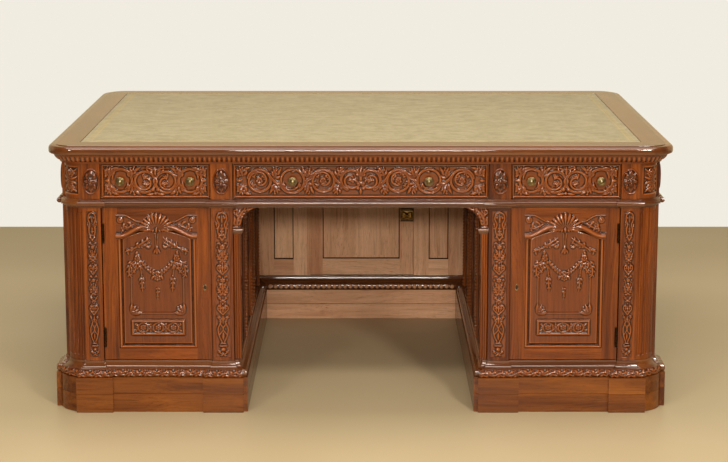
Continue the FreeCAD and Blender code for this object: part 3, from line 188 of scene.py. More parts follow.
class Groups:
    """Shader node groups that more than one finish uses, each built once."""

    def __init__(self) -> None:
        """Build every group."""
        self.grain = self.board_grain()
        self.hollow_colour = self.carving_wax()
        self.polish = self.hand_polish()

    @staticmethod
    def open(name: str, inputs: dict[str, str], outputs: dict[str, str]) -> NodeSheet:
        """Start a group.

        Args:
            name: Name of the group.
            inputs: Input names with their socket types.
            outputs: Output names with their socket types.

        Returns:
            The group's sheet, which holds an input and an output node.
        """
        tree = bpy.data.node_groups.new(name, "ShaderNodeTree")
        for in_out, sockets in (("INPUT", inputs), ("OUTPUT", outputs)):
            for socket, kind in sockets.items():
                tree.interface.new_socket(name=socket, in_out=in_out, socket_type="NodeSocket" + kind)
        sheet = NodeSheet(tree)
        sheet.taken = sheet.add("NodeGroupInput").outputs
        sheet.given = sheet.add("NodeGroupOutput").inputs
        return sheet

    def board_grain(self) -> NodeTree:
        """Wood that runs along each board: clouds of colour, growth lines, streaks and pores.

        Returns:
            The group.
        """
        sheet = self.open("Board grain", {"Dark": "Color", "Light": "Color", "Streak": "Color", "Contrast": "Float"},
                          {"Color": "Color", "Height": "Float"})
        place = sheet.attribute("board_uvw", "Vector")
        tone = sheet.attribute("board_tone", "Fac")
        cloud = sheet.noise(sheet.stretch(place, (1.1, 13.0, 13.0)), 1.0, 4.0, 0.55, 0.7)
        bend = sheet.noise(sheet.stretch(place, (1.6, 5.0, 5.0)), 1.0, 2.0)
        offset = sheet.math("MULTIPLY", bend, 0.085)
        turned = sheet.add("ShaderNodeVectorMath", {0: place, 1: offset}, operation="ADD").outputs[0]
        lines = sheet.noise(sheet.stretch(turned, (1.2, 95.0, 60.0)), 1.0, 3.0, 0.6)
        streak = sheet.noise(sheet.stretch(turned, (5.0, 380.0, 380.0)), 1.0, 2.0, 0.6)
        pore = sheet.noise(sheet.stretch(place, (55.0, 1500.0, 1500.0)), 1.0, 1.0)
        figure = sheet.math("MULTIPLY_ADD", lines, 0.55, sheet.math("MULTIPLY", cloud, 0.65))
        figure = sheet.math("SUBTRACT", figure, 0.6)
        figure = sheet.math("MULTIPLY_ADD", figure, sheet.taken["Contrast"], sheet.math("MULTIPLY", tone, 0.24))
        share = sheet.ramp(sheet.math("ADD", figure, 0.5), 0.12, 0.88, smooth=False)
        colour = sheet.mix(share, sheet.taken["Dark"], sheet.taken["Light"])
        colour = sheet.mix(sheet.ramp(streak, 0.52, 0.74, 0.0, 0.55), colour, sheet.taken["Streak"])
        pits = sheet.ramp(pore, 0.6, 0.7)
        colour = sheet.mix(sheet.math("MULTIPLY", pits, 0.45), colour, sheet.taken["Streak"])
        sheet.put(sheet.given["Color"], colour)
        sheet.put(sheet.given["Height"], sheet.math("MULTIPLY_ADD", pits, -0.6, sheet.math("MULTIPLY", streak, 0.4)))
        return sheet.tree

    def carving_wax(self) -> NodeTree:
        """Darker hollows of carving, for dark wax and painted shade on wood and patina on brass, and lighter crests,
        for rubbed wear and a painted highlight.

        Returns:
            The group.
        """
        sheet = self.open("Carving wax", {"Color": "Color", "Wax": "Color", "Rubbed and highlight": "Color"},
                          {"Color": "Color", "Hollow": "Float"})
        carve = sheet.attribute("carve", "Fac")
        place = sheet.attribute("board_uvw", "Vector")
        patch = sheet.ramp(sheet.noise(place, 60.0, 3.0), 0.3, 0.7, 0.65, 1.0)
        # painted shade with dark wax in the hollows, where the carve value is low
        hollow = sheet.math("MULTIPLY", sheet.ramp(carve, -0.03, -0.42), patch)
        # lighter crests where the carve value is high: rubbed wear, and a painted highlight where the value is raised
        # for it
        crest = sheet.math("MULTIPLY", sheet.ramp(carve, 0.1, 0.9), 0.5)
        colour = sheet.mix(crest, sheet.taken["Color"], sheet.taken["Rubbed and highlight"])
        sheet.put(sheet.given["Color"], sheet.mix(hollow, colour, sheet.taken["Wax"]))
        sheet.put(sheet.given["Hollow"], hollow)
        return sheet.tree

    def hand_polish(self) -> NodeTree:
        """Uneven gloss from years of polishing: smears, dull patches and duller hollows.

        Returns:
            The group.
        """
        sheet = self.open("Hand polish", {"Low": "Float", "High": "Float", "Hollow": "Float"}, {"Roughness": "Float"})
        place = sheet.attribute("board_uvw", "Vector")
        smear = sheet.noise(sheet.stretch(place, (9.0, 14.0, 14.0)), 1.0, 4.0, 0.6, 0.5)
        fine = sheet.noise(place, 240.0, 2.0)
        share = sheet.ramp(sheet.math("MULTIPLY_ADD", fine, 0.25, smear), 0.4, 0.85)
        span = sheet.math("SUBTRACT", sheet.taken["High"], sheet.taken["Low"])
        rough = sheet.math("MULTIPLY_ADD", share, span, sheet.taken["Low"])
        sheet.put(sheet.given["Roughness"], sheet.math("MULTIPLY_ADD", sheet.taken["Hollow"], 0.3, rough))
        return sheet.tree

    def worn(self, sheet: NodeSheet, colour: Socket, hollow_colour: Colour, rubbed_and_highlight: Colour,
             gloss: Point) -> tuple[Socket, Socket]:
        """Place the darkened hollows, the lightened crests and the polish in a material; on wood the dark hollows are
        wax and painted shade.

        Args:
            sheet: Sheet of the material.
            colour: Colour of the bare surface.
            hollow_colour: Colour of the hollows.
            rubbed_and_highlight: Colour of the crests.
            gloss: Least and most roughness.

        Returns:
            Sockets of the roughness and of the worn colour.
        """
        tinted = sheet.group(self.hollow_colour, {"Color": colour, "Wax": hollow_colour, "Rubbed and highlight": rubbed_and_highlight})
        polish = sheet.group(self.polish, {"Low": gloss[0], "High": gloss[1], "Hollow": tinted["Hollow"]})
        return polish["Roughness"], tinted["Color"]


@dataclass(frozen=True)
class WoodFinish:
    """Polished wood, told apart by its colours and gloss."""

    name: str
    slot: str
    dark: Colour
    light: Colour
    streak: Colour
    # colour of the hollows: dark wax and painted shade
    hollow_colour: Colour = linear(40, 15, 4)
    # colour of the crests: rubbed wear, and a painted highlight on pearls and flute ribs
    rubbed_and_highlight: Colour = linear(172, 98, 46)
    contrast: float = 1.5
    gloss: Point = (0.42, 0.58)
    coat: float = 0.75
    coat_roughness: float = 0.12
    coat_index: float = 1.5
    specular: float = 0.04
    bump: Point = (0.12, 0.4)

    def material(self, groups: Groups) -> Material:
        """Build the wood's material from the shared groups.

        Args:
            groups: Shared groups.

        Returns:
            The material.
        """
        made, sheet, shader = open_material(self.name)
        grain = sheet.group(groups.grain, {"Dark": self.dark, "Light": self.light, "Streak": self.streak,
                                           "Contrast": self.contrast})
        roughness, colour = groups.worn(sheet, grain["Color"], self.hollow_colour, self.rubbed_and_highlight, self.gloss)
        sheet.fill(shader, {"Base Color": colour, "Roughness": roughness,
                            "Normal": sheet.bump(grain["Height"], self.bump), "Coat Weight": self.coat,
                            "Coat Roughness": self.coat_roughness, "Coat IOR": self.coat_index,
                            "Specular IOR Level": self.specular})
        return made


@dataclass(frozen=True)
class BrassFinish:
    """Aged brass with dark patina where hands do not reach."""

    name: str
    slot: str
    bright: Colour
    patina: Colour
    gloss: Point = (0.22, 0.42)
    bump: Point = (0.15, 0.3)

    def material(self, groups: Groups) -> Material:
        """Build the metal's material from the shared groups.

        Args:
            groups: Shared groups.

        Returns:
            The material.
        """
        made, sheet, shader = open_material(self.name)
        place = sheet.attribute("board_uvw", "Vector")
        cloud = sheet.ramp(sheet.noise(place, 130.0, 4.0, 0.6), 0.35, 0.7)
        metal = sheet.mix(cloud, self.bright, self.patina)
        roughness, colour = groups.worn(sheet, metal, self.patina, self.bright, self.gloss)
        sheet.fill(shader, {"Base Color": colour, "Roughness": roughness, "Metallic": 1.0,
                            "Normal": sheet.bump(sheet.noise(place, 900.0, 2.0), self.bump)})
        return made


@dataclass(frozen=True)
class LeatherFinish:
    """Mottled desk leather with gold lines tooled inside its edge."""

    name: str
    slot: str
    pale: Colour
    deep: Colour
    gold: Colour
    half: Point
    # dark line at the ends of the leather: painted shade in the gap at its edge
    end_shade: Colour = linear(58, 46, 30)
    lines: tuple[Point, ...] = ((17.0, 1.3), (29.0, 1.3), (32.5, 0.8))
    stamp_middle: float = 23.0
    stamp_reach: float = 3.0
    stamp_pitch: float = 11.0
    # where the painted shade at the ends fades out
    seam: Point = (2.4, 3.2)
    gloss: Point = (0.36, 0.52)
    bump: Point = (0.25, 0.3)
    specular: float = 0.45

    def material(self, groups: Groups) -> Material:
        """Build the leather's material, with masks for the tooling.

        Args:
            groups: Shared groups.

        Returns:
            The material.
        """
        made, sheet, shader = open_material(self.name)
        place = sheet.attribute("board_uvw", "Vector")
        split = sheet.add("ShaderNodeSeparateXYZ", {0: place}).outputs
        across = sheet.math("SUBTRACT", self.half[0] * MM, sheet.math("ABSOLUTE", split[0]))
        along = sheet.math("SUBTRACT", self.half[1] * MM, sheet.math("ABSOLUTE", split[1]))
        inset = sheet.math("MINIMUM", across, along)
        gold = 0.0
        for middle, width in self.lines:
            distance = sheet.math("ABSOLUTE", sheet.math("SUBTRACT", inset, middle * MM))
            line = sheet.ramp(distance, width * MM * 0.5, width * MM * 0.75, 1.0, 0.0)
            gold = sheet.math("MAXIMUM", gold, line)
        gold = sheet.math("MAXIMUM", gold, self.stamps(sheet, split, across, along, inset))
        worn = sheet.ramp(sheet.noise(place, 55.0, 4.0, 0.65), 0.38, 0.56, 0.2, 0.75)
        gold = sheet.math("MULTIPLY", gold, worn)
        mottle = sheet.noise(sheet.stretch(place, (1.0, 2.0, 1.0)), 19.0, 6.0, 0.7, 0.5)
        flecks = sheet.noise(place, 70.0, 3.0, 0.6)
        share = sheet.ramp(sheet.math("MULTIPLY_ADD", flecks, 0.4, sheet.math("MULTIPLY", mottle, 0.8)), 0.47, 0.72)
        cells = sheet.add("ShaderNodeTexVoronoi", {"Vector": place, "Scale": 620.0}, feature="DISTANCE_TO_EDGE")
        crease = sheet.ramp(cells.outputs[0], 0.0, 0.16)
        hide = sheet.mix(share, self.deep, self.pale)
        hide = sheet.mix(sheet.ramp(crease, 0.0, 1.0, 0.22, 0.0), hide, self.deep)
        # painted shade along the ends, in the gap between leather and frame
        hide = sheet.mix(sheet.ramp(across, self.seam[0] * MM, self.seam[1] * MM, 0.85, 0.0), hide, self.end_shade)
        polish = sheet.group(groups.polish, {"Low": self.gloss[0], "High": self.gloss[1]})
        height = sheet.math("MULTIPLY_ADD", gold, -0.8, crease)
        sheet.fill(shader, {"Base Color": sheet.mix(gold, hide, self.gold), "Roughness": polish["Roughness"],
                            "Metallic": sheet.math("MULTIPLY", gold, 0.85), "Normal": sheet.bump(height, self.bump),
                            "Specular IOR Level": self.specular})
        return made

    def stamps(self, sheet: NodeSheet, split: Sequence, across: object, along: object,
               inset: object) -> Socket:
        """Mask of the row of small stamped lozenges between the lines.

        Args:
            sheet: Sheet of the material.
            split: Parts of the place on the leather.
            across: Distance from the nearer end.
            along: Distance from the nearer long edge.
            inset: Distance from the nearest edge.

        Returns:
            The mask's socket.
        """
        by_end = sheet.math("LESS_THAN", across, along)
        run = sheet.add("ShaderNodeMix", {"Factor": by_end, 2: split[0], 3: split[1]}, data_type="FLOAT")
        step = sheet.math("PINGPONG", run.outputs[0], self.stamp_pitch * MM / 2)
        away = sheet.math("ABSOLUTE", sheet.math("SUBTRACT", inset, self.stamp_middle * MM))
        total = sheet.math("ADD", step, away)
        return sheet.ramp(total, self.stamp_reach * MM * 0.8, self.stamp_reach * MM, 1.0, 0.0)


def open_material(name: str) -> tuple[Material, NodeSheet, Node]:
    """Start a material with one shader.

    Args:
        name: Name of the material.

    Returns:
        The material, its sheet and its shader node.
    """
    made = bpy.data.materials.new(name)
    made.use_nodes = True
    sheet = NodeSheet(made.node_tree)
    shader = sheet.add("ShaderNodeBsdfPrincipled")
    sheet.add("ShaderNodeOutputMaterial", {"Surface": shader.outputs[0]})
    return made, sheet, shader


class Finish(Enum):
    """Every finish that the desk shows."""

    CASE = WoodFinish("case_mahogany", "mahogany", linear(66, 22, 3), linear(138, 67, 13), linear(42, 14, 3),
                      contrast=2.3)
    CARVED = WoodFinish("carved_mahogany", "mahogany", linear(78, 29, 5), linear(126, 60, 13), linear(62, 22, 5),
                        contrast=1.0, gloss=(0.4, 0.55), coat=0.95, coat_roughness=0.09, coat_index=1.55)
    TOP = WoodFinish("top_mahogany", "mahogany", linear(72, 32, 9), linear(116, 64, 25), linear(50, 21, 7),
                     coat=0.9, coat_roughness=0.06, coat_index=1.75)
    # lighter copy of the mahogany: painted light on the kneehole's panels, plinth and ledge pearls
    KNEEHOLE = WoodFinish("lit_kneehole_mahogany", "mahogany", linear(206, 144, 106), linear(250, 202, 163),
                          linear(156, 99, 65), gloss=(0.5, 0.66), coat=0.15, coat_roughness=0.25)
    PLINTH = WoodFinish("plinth_mahogany", "mahogany", linear(78, 33, 7), linear(140, 78, 22), linear(52, 22, 7),
                        contrast=1.8)
    # darker copy of the mahogany: painted shade on the kneehole's walls, panel mouldings and keyholes
    WALL = WoodFinish("shaded_wall_mahogany", "mahogany", linear(34, 14, 5), linear(66, 31, 12), linear(24, 10, 4))
    LINING = WoodFinish("drawer_lining_wood", "drawer_lining", linear(150, 104, 62), linear(196, 152, 102),
                        linear(124, 82, 48), gloss=(0.5, 0.66), coat=0.08, coat_roughness=0.4)
    LEATHER = LeatherFinish("desk_leather", "leather", linear(161, 149, 121), linear(139, 128, 99),
                            linear(222, 188, 110), (825.0, 520.0))
    KNOB = BrassFinish("knob_brass", "knob_brass", linear(172, 154, 112), linear(104, 88, 58))
    LOCK = BrassFinish("lock_brass", "lock_brass", linear(170, 128, 66), linear(78, 56, 32))
    HINGE = BrassFinish("hinge_brass", "lock_brass", linear(62, 44, 27), linear(32, 23, 15))


class Palette:
    """Materials of all finishes."""

    def __init__(self) -> None:
        """Build the groups, then one material for each finish."""
        groups = Groups()
        self.made = {finish: finish.value.material(groups) for finish in Finish}

    def dress(self, piece: Object, finish: Finish) -> None:
        """Give a piece one finish.

        Args:
            piece: Piece or node.
            finish: Finish that it gets.
        """
        piece.data.materials.clear()
        piece.data.materials.append(self.made[finish])


# ---- meshes ----


@dataclass(frozen=True)
class Plane:
    """Place of a flat face: its origin and the ways that run right, up and out of it."""

    origin: Triple
    right: Triple
    up: Triple = (0.0, 0.0, 1.0)

    @property
    def out(self) -> Array:
        """Way out of the face."""
        return np.cross(self.right, self.up)

    def at(self, u: Array, v: Array, h: Array | float) -> Array:
        """Points of the frame at places on the face.

        Args:
            u: Distance to the right.
            v: Distance up.
            h: Height above the face.

        Returns:
            Points, with the three parts in the last axis.
        """
        u, v, h = np.broadcast_arrays(u, v, h)
        return (np.array(self.origin) + u[..., None] * np.array(self.right) + v[..., None] * np.array(self.up)
                + h[..., None] * self.out)


class Draft:
    """Mesh in the making: points, faces and how deep each point lies in its carving."""

    def __init__(self) -> None:
        """Start empty."""
        self.points: list[Array] = []
        self.faces: list[Array] = []
        self.carve: list[Array] = []
        self.count = 0

    def add(self, points: Array, faces: Iterable[Array], carve: Array | None = None) -> None:
        """Add a part.

        Args:
            points: Points, one per row.
            faces: Arrays of faces with three or four corners each, numbered within the part.
            carve: Depth in the carving of each point, from -1 in hollows to 1 on crests.
        """
        points = np.asarray(points, float).reshape(-1, 3)
        self.points.append(points)
        self.faces.extend(np.asarray(group, int) + self.count for group in faces)
        self.carve.append(np.zeros(len(points)) if carve is None else np.asarray(carve, float).ravel())
        self.count += len(points)

    def sheet(self, front: Array, back: Array, carve: Array | None = None) -> None:
        """Add a closed plate whose face is a grid.

        Args:
            front: Grid of points of the face, seen with rows going up and columns to the right.
            back: Grid of the same size behind it; only its rim is used.
            carve: Depth in the carving of each face point.
        """
        rows, columns = front.shape[:2]
        index = np.arange(rows * columns).reshape(rows, columns)
        rim = np.concatenate([index[0, :-1], index[:-1, -1], index[-1, :0:-1], index[:0:-1, 0]])
        behind = back.reshape(-1, 3)[rim]
        low = rows * columns + np.arange(len(rim))
        middle = rows * columns + len(rim)
        after = np.roll(rim, -1)
        low_after = np.roll(low, -1)
        quads = np.stack([index[:-1, :-1], index[:-1, 1:], index[1:, 1:], index[1:, :-1]], -1).reshape(-1, 4)
        walls = np.stack([rim, low, low_after, after], -1)
        fan = np.stack([np.full(len(rim), middle), low_after, low], -1)
        points = np.vstack([front.reshape(-1, 3), behind, behind.mean(0)[None]])
        depth = np.zeros(len(points))
        if carve is not None:
            depth[:rows * columns] = np.asarray(carve).ravel()
        self.add(points, [quads, walls, fan], depth)

    def tube(self, rings: Array, carve: Array | None = None) -> None:
        """Add a closed solid through rings of points.

        Args:
            rings: Points by ring and place in the ring; rings turn left about the way that they follow.
            carve: Depth in the carving of each ring.
        """
        count, around = rings.shape[:2]
        index = np.arange(count * around).reshape(count, around)
        after = np.roll(index, -1, 1)
        quads = np.stack([index[:-1], after[:-1], after[1:], index[1:]], -1).reshape(-1, 4)
        ends = count * around + np.arange(2)
        first = np.stack([np.full(around, ends[0]), after[0], index[0]], -1)
        last = np.stack([np.full(around, ends[1]), index[-1], after[-1]], -1)
        points = np.vstack([rings.reshape(-1, 3), rings[0].mean(0)[None], rings[-1].mean(0)[None]])
        depth = np.zeros(len(points))
        if carve is not None:
            depth[:count * around] = np.repeat(carve, around)
        self.add(points, [quads, first, last], depth)

    def hoop(self, loops: Array) -> None:
        """Add a closed ring.

        Args:
            loops: Points by place along the ring and place round its section.
        """
        count, around = loops.shape[:2]
        index = np.arange(count * around).reshape(count, around)
        ahead, after = np.roll(index, -1, 0), np.roll(index, -1, 1)
        quads = np.stack([index, after, np.roll(ahead, -1, 1), ahead], -1).reshape(-1, 4)
        self.add(loops.reshape(-1, 3), [quads])

    def pearl(self, centre: Sequence[float], radius: float) -> None:
        """Add a round pearl, lightened all over as a painted highlight.

        Args:
            centre: Its middle.
            radius: Its radius.
        """
        tilt = np.radians(np.linspace(-80, 80, 6))
        turn = full_turn(10)
        rings = np.stack([np.cos(tilt)[:, None] * np.cos(turn), np.cos(tilt)[:, None] * np.sin(turn),
                          np.sin(tilt)[:, None] + 0 * turn], -1)
        # the whole pearl gets a raised carve value: a painted highlight in its colour
        self.tube(np.array(centre) + radius * rings, np.full(len(tilt), 0.5))


def full_turn(count: int) -> Array:
    """Angles of evenly spaced places round a circle."""
    return np.radians(np.linspace(0, 360, count, endpoint=False))


def stand(name: str, data: object) -> Object:
    """Put a mesh, lamp or camera into the scene.

    Args:
        name: Name of the object.
        data: What it shows.

    Returns:
        The object.
    """
    made = bpy.data.objects.new(name, data)
    bpy.context.scene.collection.objects.link(made)
    return made


def seeded(name: str) -> np.random.Generator:
    """Random numbers that are the same for a name at each run."""
    return np.random.default_rng(sum((place + 1) * ord(sign) for place, sign in enumerate(name)))


def mark(mesh: Mesh, name: str, kind: str, domain: str, values: Array) -> None:
    """Write an attribute onto a mesh.

    Args:
        mesh: Mesh to mark.
        name: Name of the attribute.
        kind: Blender's type of the attribute.
        domain: Where it lives, POINT or CORNER.
        values: One value or vector each.
    """
    layer = mesh.attributes.new(name, kind, domain)
    layer.data.foreach_set("vector" if kind == "FLOAT_VECTOR" else "value", np.asarray(values, np.float32).ravel())


# ---- carving ----


def curve(*points: Point, steps: int = 6) -> Array:
    """Smooth path through points.

    Args:
        points: Points that it passes.
        steps: Steps between two points.

    Returns:
        Points of the path, one per row.
    """
    given = np.array(points, float)
    ends = np.vstack([2 * given[0] - given[1], given, 2 * given[-1] - given[-2]])
    t = np.linspace(0, 1, steps, endpoint=False)[:, None]
    runs = [0.5 * (2 * b + (c - a) * t + (2 * a - 5 * b + 4 * c - d) * t ** 2 + (3 * b - a - 3 * c + d) * t ** 3)
            for a, b, c, d in zip(ends, ends[1:], ends[2:], ends[3:])]
    return np.vstack(runs + [given[-1:]])


def spiral(centre: Point, radius: float, inner: float, start: float, end: float) -> Array:
    """Path that winds round a centre.

    Args:
        centre: Middle of the spiral.
        radius: Radius at its start.
        inner: Radius at its end.
        start: Angle of its start in degrees.
        end: Angle of its end in degrees.

    Returns:
        Points of the path, one per row.
    """
    angles = np.radians(np.linspace(start, end, max(8, int(abs(end - start) / 12))))
    share = np.linspace(0, 1, len(angles))
    radii = radius + (inner - radius) * share ** 1.25
    return np.array(centre) + radii[:, None] * np.stack([np.cos(angles), np.sin(angles)], -1)


def blurred(heights: Array, reach: int) -> Array:
    """Heights averaged over a square window.

    Args:
        heights: Grid of heights.
        reach: Cells on each side of the middle.

    Returns:
        The averaged grid.
    """
    size = 2 * reach + 1
    for axis in (0, 1):
        edge = [(reach + 1, reach) if axis == side else (0, 0) for side in (0, 1)]
        sums = np.cumsum(np.pad(heights, edge, mode="edge"), axis=axis)
        heights = (np.take(sums, range(size, sums.shape[axis]), axis)
                   - np.take(sums, range(sums.shape[axis] - size), axis)) / size
    return heights


def heading(angle: float) -> Array:
    """Way of length 1 at an angle in degrees."""
    return np.array([math.cos(math.radians(angle)), math.sin(math.radians(angle))])


@dataclass(frozen=True)
class Place:
    """Where a motif goes: its foot, its scale across, and a flip of -1 when it stands on its head."""

    across: float = 0.0
    up: float = 0.0
    size: float = 1.0
    flip: int = 1

    def spots(self, points: Sequence[Point]) -> Array:
        """Points of the motif at this place."""
        return np.array(points, float) * (self.size, self.flip) + (self.across, self.up)

    def path(self, points: Sequence[Point]) -> Array:
        """Smooth path through points of the motif."""
        return curve(*self.spots(points))


@dataclass(frozen=True)
class Mark:
    """One cut of a motif; a rise of 0 stands for the usual height of the ground that takes it."""

    points: tuple[Point, ...]
    width: float
    rise: float = 0.0

    def cut(self, relief: "Relief", place: Place) -> None:
        """Raise the mark at a place; each kind of mark says how."""
        raise NotImplementedError


@dataclass(frozen=True)
class Leaf(Mark):
    """Leaf with pairs of side lobes; its width is the length of the longest of them."""

    pairs: int = 3

    def cut(self, relief: "Relief", place: Place) -> None:
        """Raise the leaf."""
        relief.leaf(place.path(self.points), self.width * abs(place.size), self.rise or relief.rise, self.pairs)


@dataclass(frozen=True)
class Lobe(Mark):
    """Drop-shaped lobe."""

    def cut(self, relief: "Relief", place: Place) -> None:
        """Raise the lobe."""
        relief.lobe(place.path(self.points), self.width * abs(place.size), self.rise or relief.rise)


@dataclass(frozen=True)
class Berry(Mark):
    """Round berry at one point."""

    def cut(self, relief: "Relief", place: Place) -> None:
        """Raise the berry."""
        relief.berry(place.spots(self.points)[0], self.width * abs(place.size), self.rise or relief.rise)


@dataclass(frozen=True)
class Stem(Mark):
    """Stem that tapers to another half width; it keeps both at every scale."""

    end: float = 2.0
    groove: float = 0.28

    def cut(self, relief: "Relief", place: Place) -> None:
        """Raise the stem."""
        relief.stem(place.path(self.points), self.width, self.end, self.rise or relief.rise, self.groove)


Motif = tuple[Mark, ...]


class Relief:
    """Height map that is carved stroke by stroke, highest stroke on top."""

    def __init__(self, low: Point, high: Point, pitch: float, rise: float = 0.0) -> None:
        """Lay out the ground.

        Args:
            low: Lower left corner.
            high: Upper right corner.
            pitch: Distance between two points.
            rise: Usual height of the carving.
        """
        self.pitch = pitch
        self.rise = rise
        self.u = np.linspace(low[0], high[0], int(round((high[0] - low[0]) / pitch)) + 1)
        self.v = np.linspace(low[1], high[1], int(round((high[1] - low[1]) / pitch)) + 1)
        self.heights = np.zeros((len(self.v), len(self.u)))
        # painted shade, added to the carve value by depth()
        self.shade = np.zeros_like(self.heights)

    def carve(self, motif: Iterable[Mark], place: Place = Place()) -> None:
        """Cut all marks of a motif at a place."""
        for mark in motif:
            mark.cut(self, place)

    def stroke(self, path: Array, widths: Sequence[float], rises: Sequence[float], groove: float = 0.0) -> None:
        """Raise a round ridge along a path.

        Args:
            path: Points of the path.
            widths: Half widths along it, evenly spaced.
            rises: Heights along it, evenly spaced.
            groove: Share of the height that a hollow along its middle takes away.
        """
        reach = max(widths)
        low, high = path.min(0) - reach, path.max(0) + reach
        columns = slice(*np.searchsorted(self.u, (low[0], high[0])))
        rows = slice(*np.searchsorted(self.v, (low[1], high[1])))
        u, v = self.u[None, columns], self.v[rows, None]
        if u.size == 0 or v.size == 0:
            return
        lengths = np.hypot(*np.diff(path, axis=0).T)
        places = np.concatenate([[0], np.cumsum(lengths)]) / max(lengths.sum(), TINY)
        nearest = np.full((v.size, u.size), np.inf)
        along = np.zeros_like(nearest)
        for a, b, start, stop in zip(path, path[1:], places, places[1:]):
            way = b - a
            share = np.clip(((u - a[0]) * way[0] + (v - a[1]) * way[1]) / max(way @ way, TINY), 0, 1)
            distance = np.hypot(u - a[0] - share * way[0], v - a[1] - share * way[1])
            nearer = distance < nearest
            nearest = np.where(nearer, distance, nearest)
            along = np.where(nearer, start + share * (stop - start), along)
        width = np.interp(along, np.linspace(0, 1, len(widths)), widths)
        rise = np.interp(along, np.linspace(0, 1, len(rises)), rises)
        inside = np.clip(1 - (nearest / np.maximum(width, TINY)) ** 2, 0, 1)
        height = rise * inside ** 0.6 * (1 - groove * np.clip(1 - (nearest / (0.45 * width)) ** 2, 0, 1))
        self.heights[rows, columns] = np.maximum(self.heights[rows, columns], height)

    def stem(self, path: Array, start: float, end: float, rise: float, groove: float = 0.28) -> None:
        """Raise a grooved stem that tapers from one half width to another."""
        self.stroke(path, (start, end), (rise, rise * 0.85), groove)

    def lobe(self, path: Array, width: float, rise: float) -> None:
        """Raise a drop-shaped lobe that swells towards its tip."""
        self.stroke(path, (0.35 * width, 0.8 * width, width, 0.85 * width, 0.3 * width),
                    (0.5 * rise, 0.75 * rise, rise, rise, 0.7 * rise), 0.16)

    def leaf(self, path: Array, spread: float, rise: float, pairs: int = 3) -> None:
        """Raise a leaf with side lobes on both sides of its rib.

        Args:
            path: Points of the rib from stalk to tip.
            spread: Length of the longest side lobes.
            rise: Height of the leaf.
            pairs: Pairs of side lobes.
        """
        count = len(path) - 1
        for pair in range(pairs):
            share = 0.12 + 0.62 * pair / max(pairs - 1, 1)
            root = path[int(share * count)]
            ahead = path[min(int(share * count) + 1, count)] - root
            ahead = ahead / max(np.hypot(*ahead), TINY)
            length = spread * (1 - 0.45 * share)
            for hand in (-1, 1):
                aside = np.array([-ahead[1], ahead[0]]) * hand
                bend = root + (aside * 0.62 + ahead * 0.3) * length
                tip = root + (aside * 0.85 + ahead * 0.8) * length
                self.lobe(curve(root, bend, tip, steps=3), 0.34 * length, rise * 0.86)
        self.lobe(path, 0.32 * spread, rise)

    def berry(self, centre: Point, radius: float, rise: float) -> None:
        """Raise a round berry."""
        self.stroke(np.array([centre, (centre[0] + 0.01, centre[1])]), (radius, radius), (rise, rise))

    def ring(self, centre: Point, radius: float, width: float, rise: float) -> None:
        """Raise a round ring."""
        self.stroke(spiral(centre, radius, radius, 0, 360), (width, width), (rise, rise))

    def flower(self, centre: Point, size: Point, petals: int, rise: float, turn: float = 90.0) -> None:
        """Raise a flower.

        Args:
            centre: Its middle.
            size: Half width and half height.
            petals: Number of petals.
            rise: Height of the petals.
            turn: Angle of the first petal in degrees.
        """
        for petal in range(petals):
            way = heading(turn + 360 * petal / petals) * size
            path = np.array(centre) + np.outer((0.2, 0.6, 0.92), way)
            self.lobe(path, 2.3 * float(np.hypot(*way)) / petals, rise * 0.85)
        self.berry(centre, 0.24 * min(size), rise)

    def mirror(self) -> None:
        """Repeat the left half on the right."""
        self.heights = np.maximum(self.heights, self.heights[:, ::-1])

    def soften(self) -> None:
        """Round off the knife's last marks."""
        self.heights = 0.45 * self.heights + 0.55 * blurred(self.heights, 1)

    def depth(self, span: float = 3.2, full: float = 1.0) -> Array:
        """How far each point lies above or below its surroundings, plus the painted shade of the shade grid.

        Args:
            span: Reach of the surroundings.
            full: Difference that counts as 1.

        Returns:
            Depth, from -1 in hollows to 1 on crests.
        """
        around = blurred(blurred(self.heights, max(2, round(span / self.pitch))), 1)
        return np.clip((self.heights - around) / full + self.shade, -1, 1)

    def sample(self, grid: Array, u: Array, v: Array) -> Array:
        """Values of a grid of this size at any places.

        Args:
            grid: Grid of values.
            u: Places across.
            v: Places up.

        Returns:
            Values at the places.
        """
        a = np.clip((u - self.u[0]) / (self.u[1] - self.u[0]), 0, len(self.u) - 1.001)
        b = np.clip((v - self.v[0]) / (self.v[1] - self.v[0]), 0, len(self.v) - 1.001)
        i, j = a.astype(int), b.astype(int)
        a, b = a - i, b - j
        return ((grid[j, i] * (1 - a) + grid[j, i + 1] * a) * (1 - b)
                + (grid[j + 1, i] * (1 - a) + grid[j + 1, i + 1] * a) * b)

    def plate(self, plane: Plane, ground: float, sink: float) -> Draft:
        """Carving as a flat-backed plate.

        Args:
            plane: Face that carries it.
            ground: Height of the lowest carving above the face.
            sink: Depth of the plate's back under the face.

        Returns:
            Draft of the plate.
        """
        u, v = np.meshgrid(self.u, self.v)
        draft = Draft()
        draft.sheet(plane.at(u, v, self.heights + ground), plane.at(u, v, -sink), self.depth())
        return draft

    def trimmed(self, plane: Plane, edges: tuple[Array | float, Array], ground: float, sink: float) -> Draft:
        """Carving as a flat-backed plate between two lines.

        Args:
            plane: Face that carries it.
            edges: Heights of the lower and the upper line at the columns of the ground.
            ground: Height of the lowest carving above the face.
            sink: Depth of the plate's back under the face.

        Returns:
            Draft of the plate.
        """
        low, high = edges
        v = low + np.linspace(0, 1, len(self.v))[:, None] * (high - low)
        u = np.broadcast_to(self.u, v.shape)
        draft = Draft()
        draft.sheet(plane.at(u, v, self.sample(self.heights, u, v) + ground), plane.at(u, v, -sink),
                    self.sample(self.depth(), u, v))
        return draft


@dataclass(frozen=True)
class Scroll:
    """One scroll of a running vine: its middle, radius and whether a knob sits in it."""

    u: float
    radius: float
    knob: bool = False

    @property
    def centre(self) -> Point:
        """Middle of the scroll on the ground."""
        return self.u, 0.0


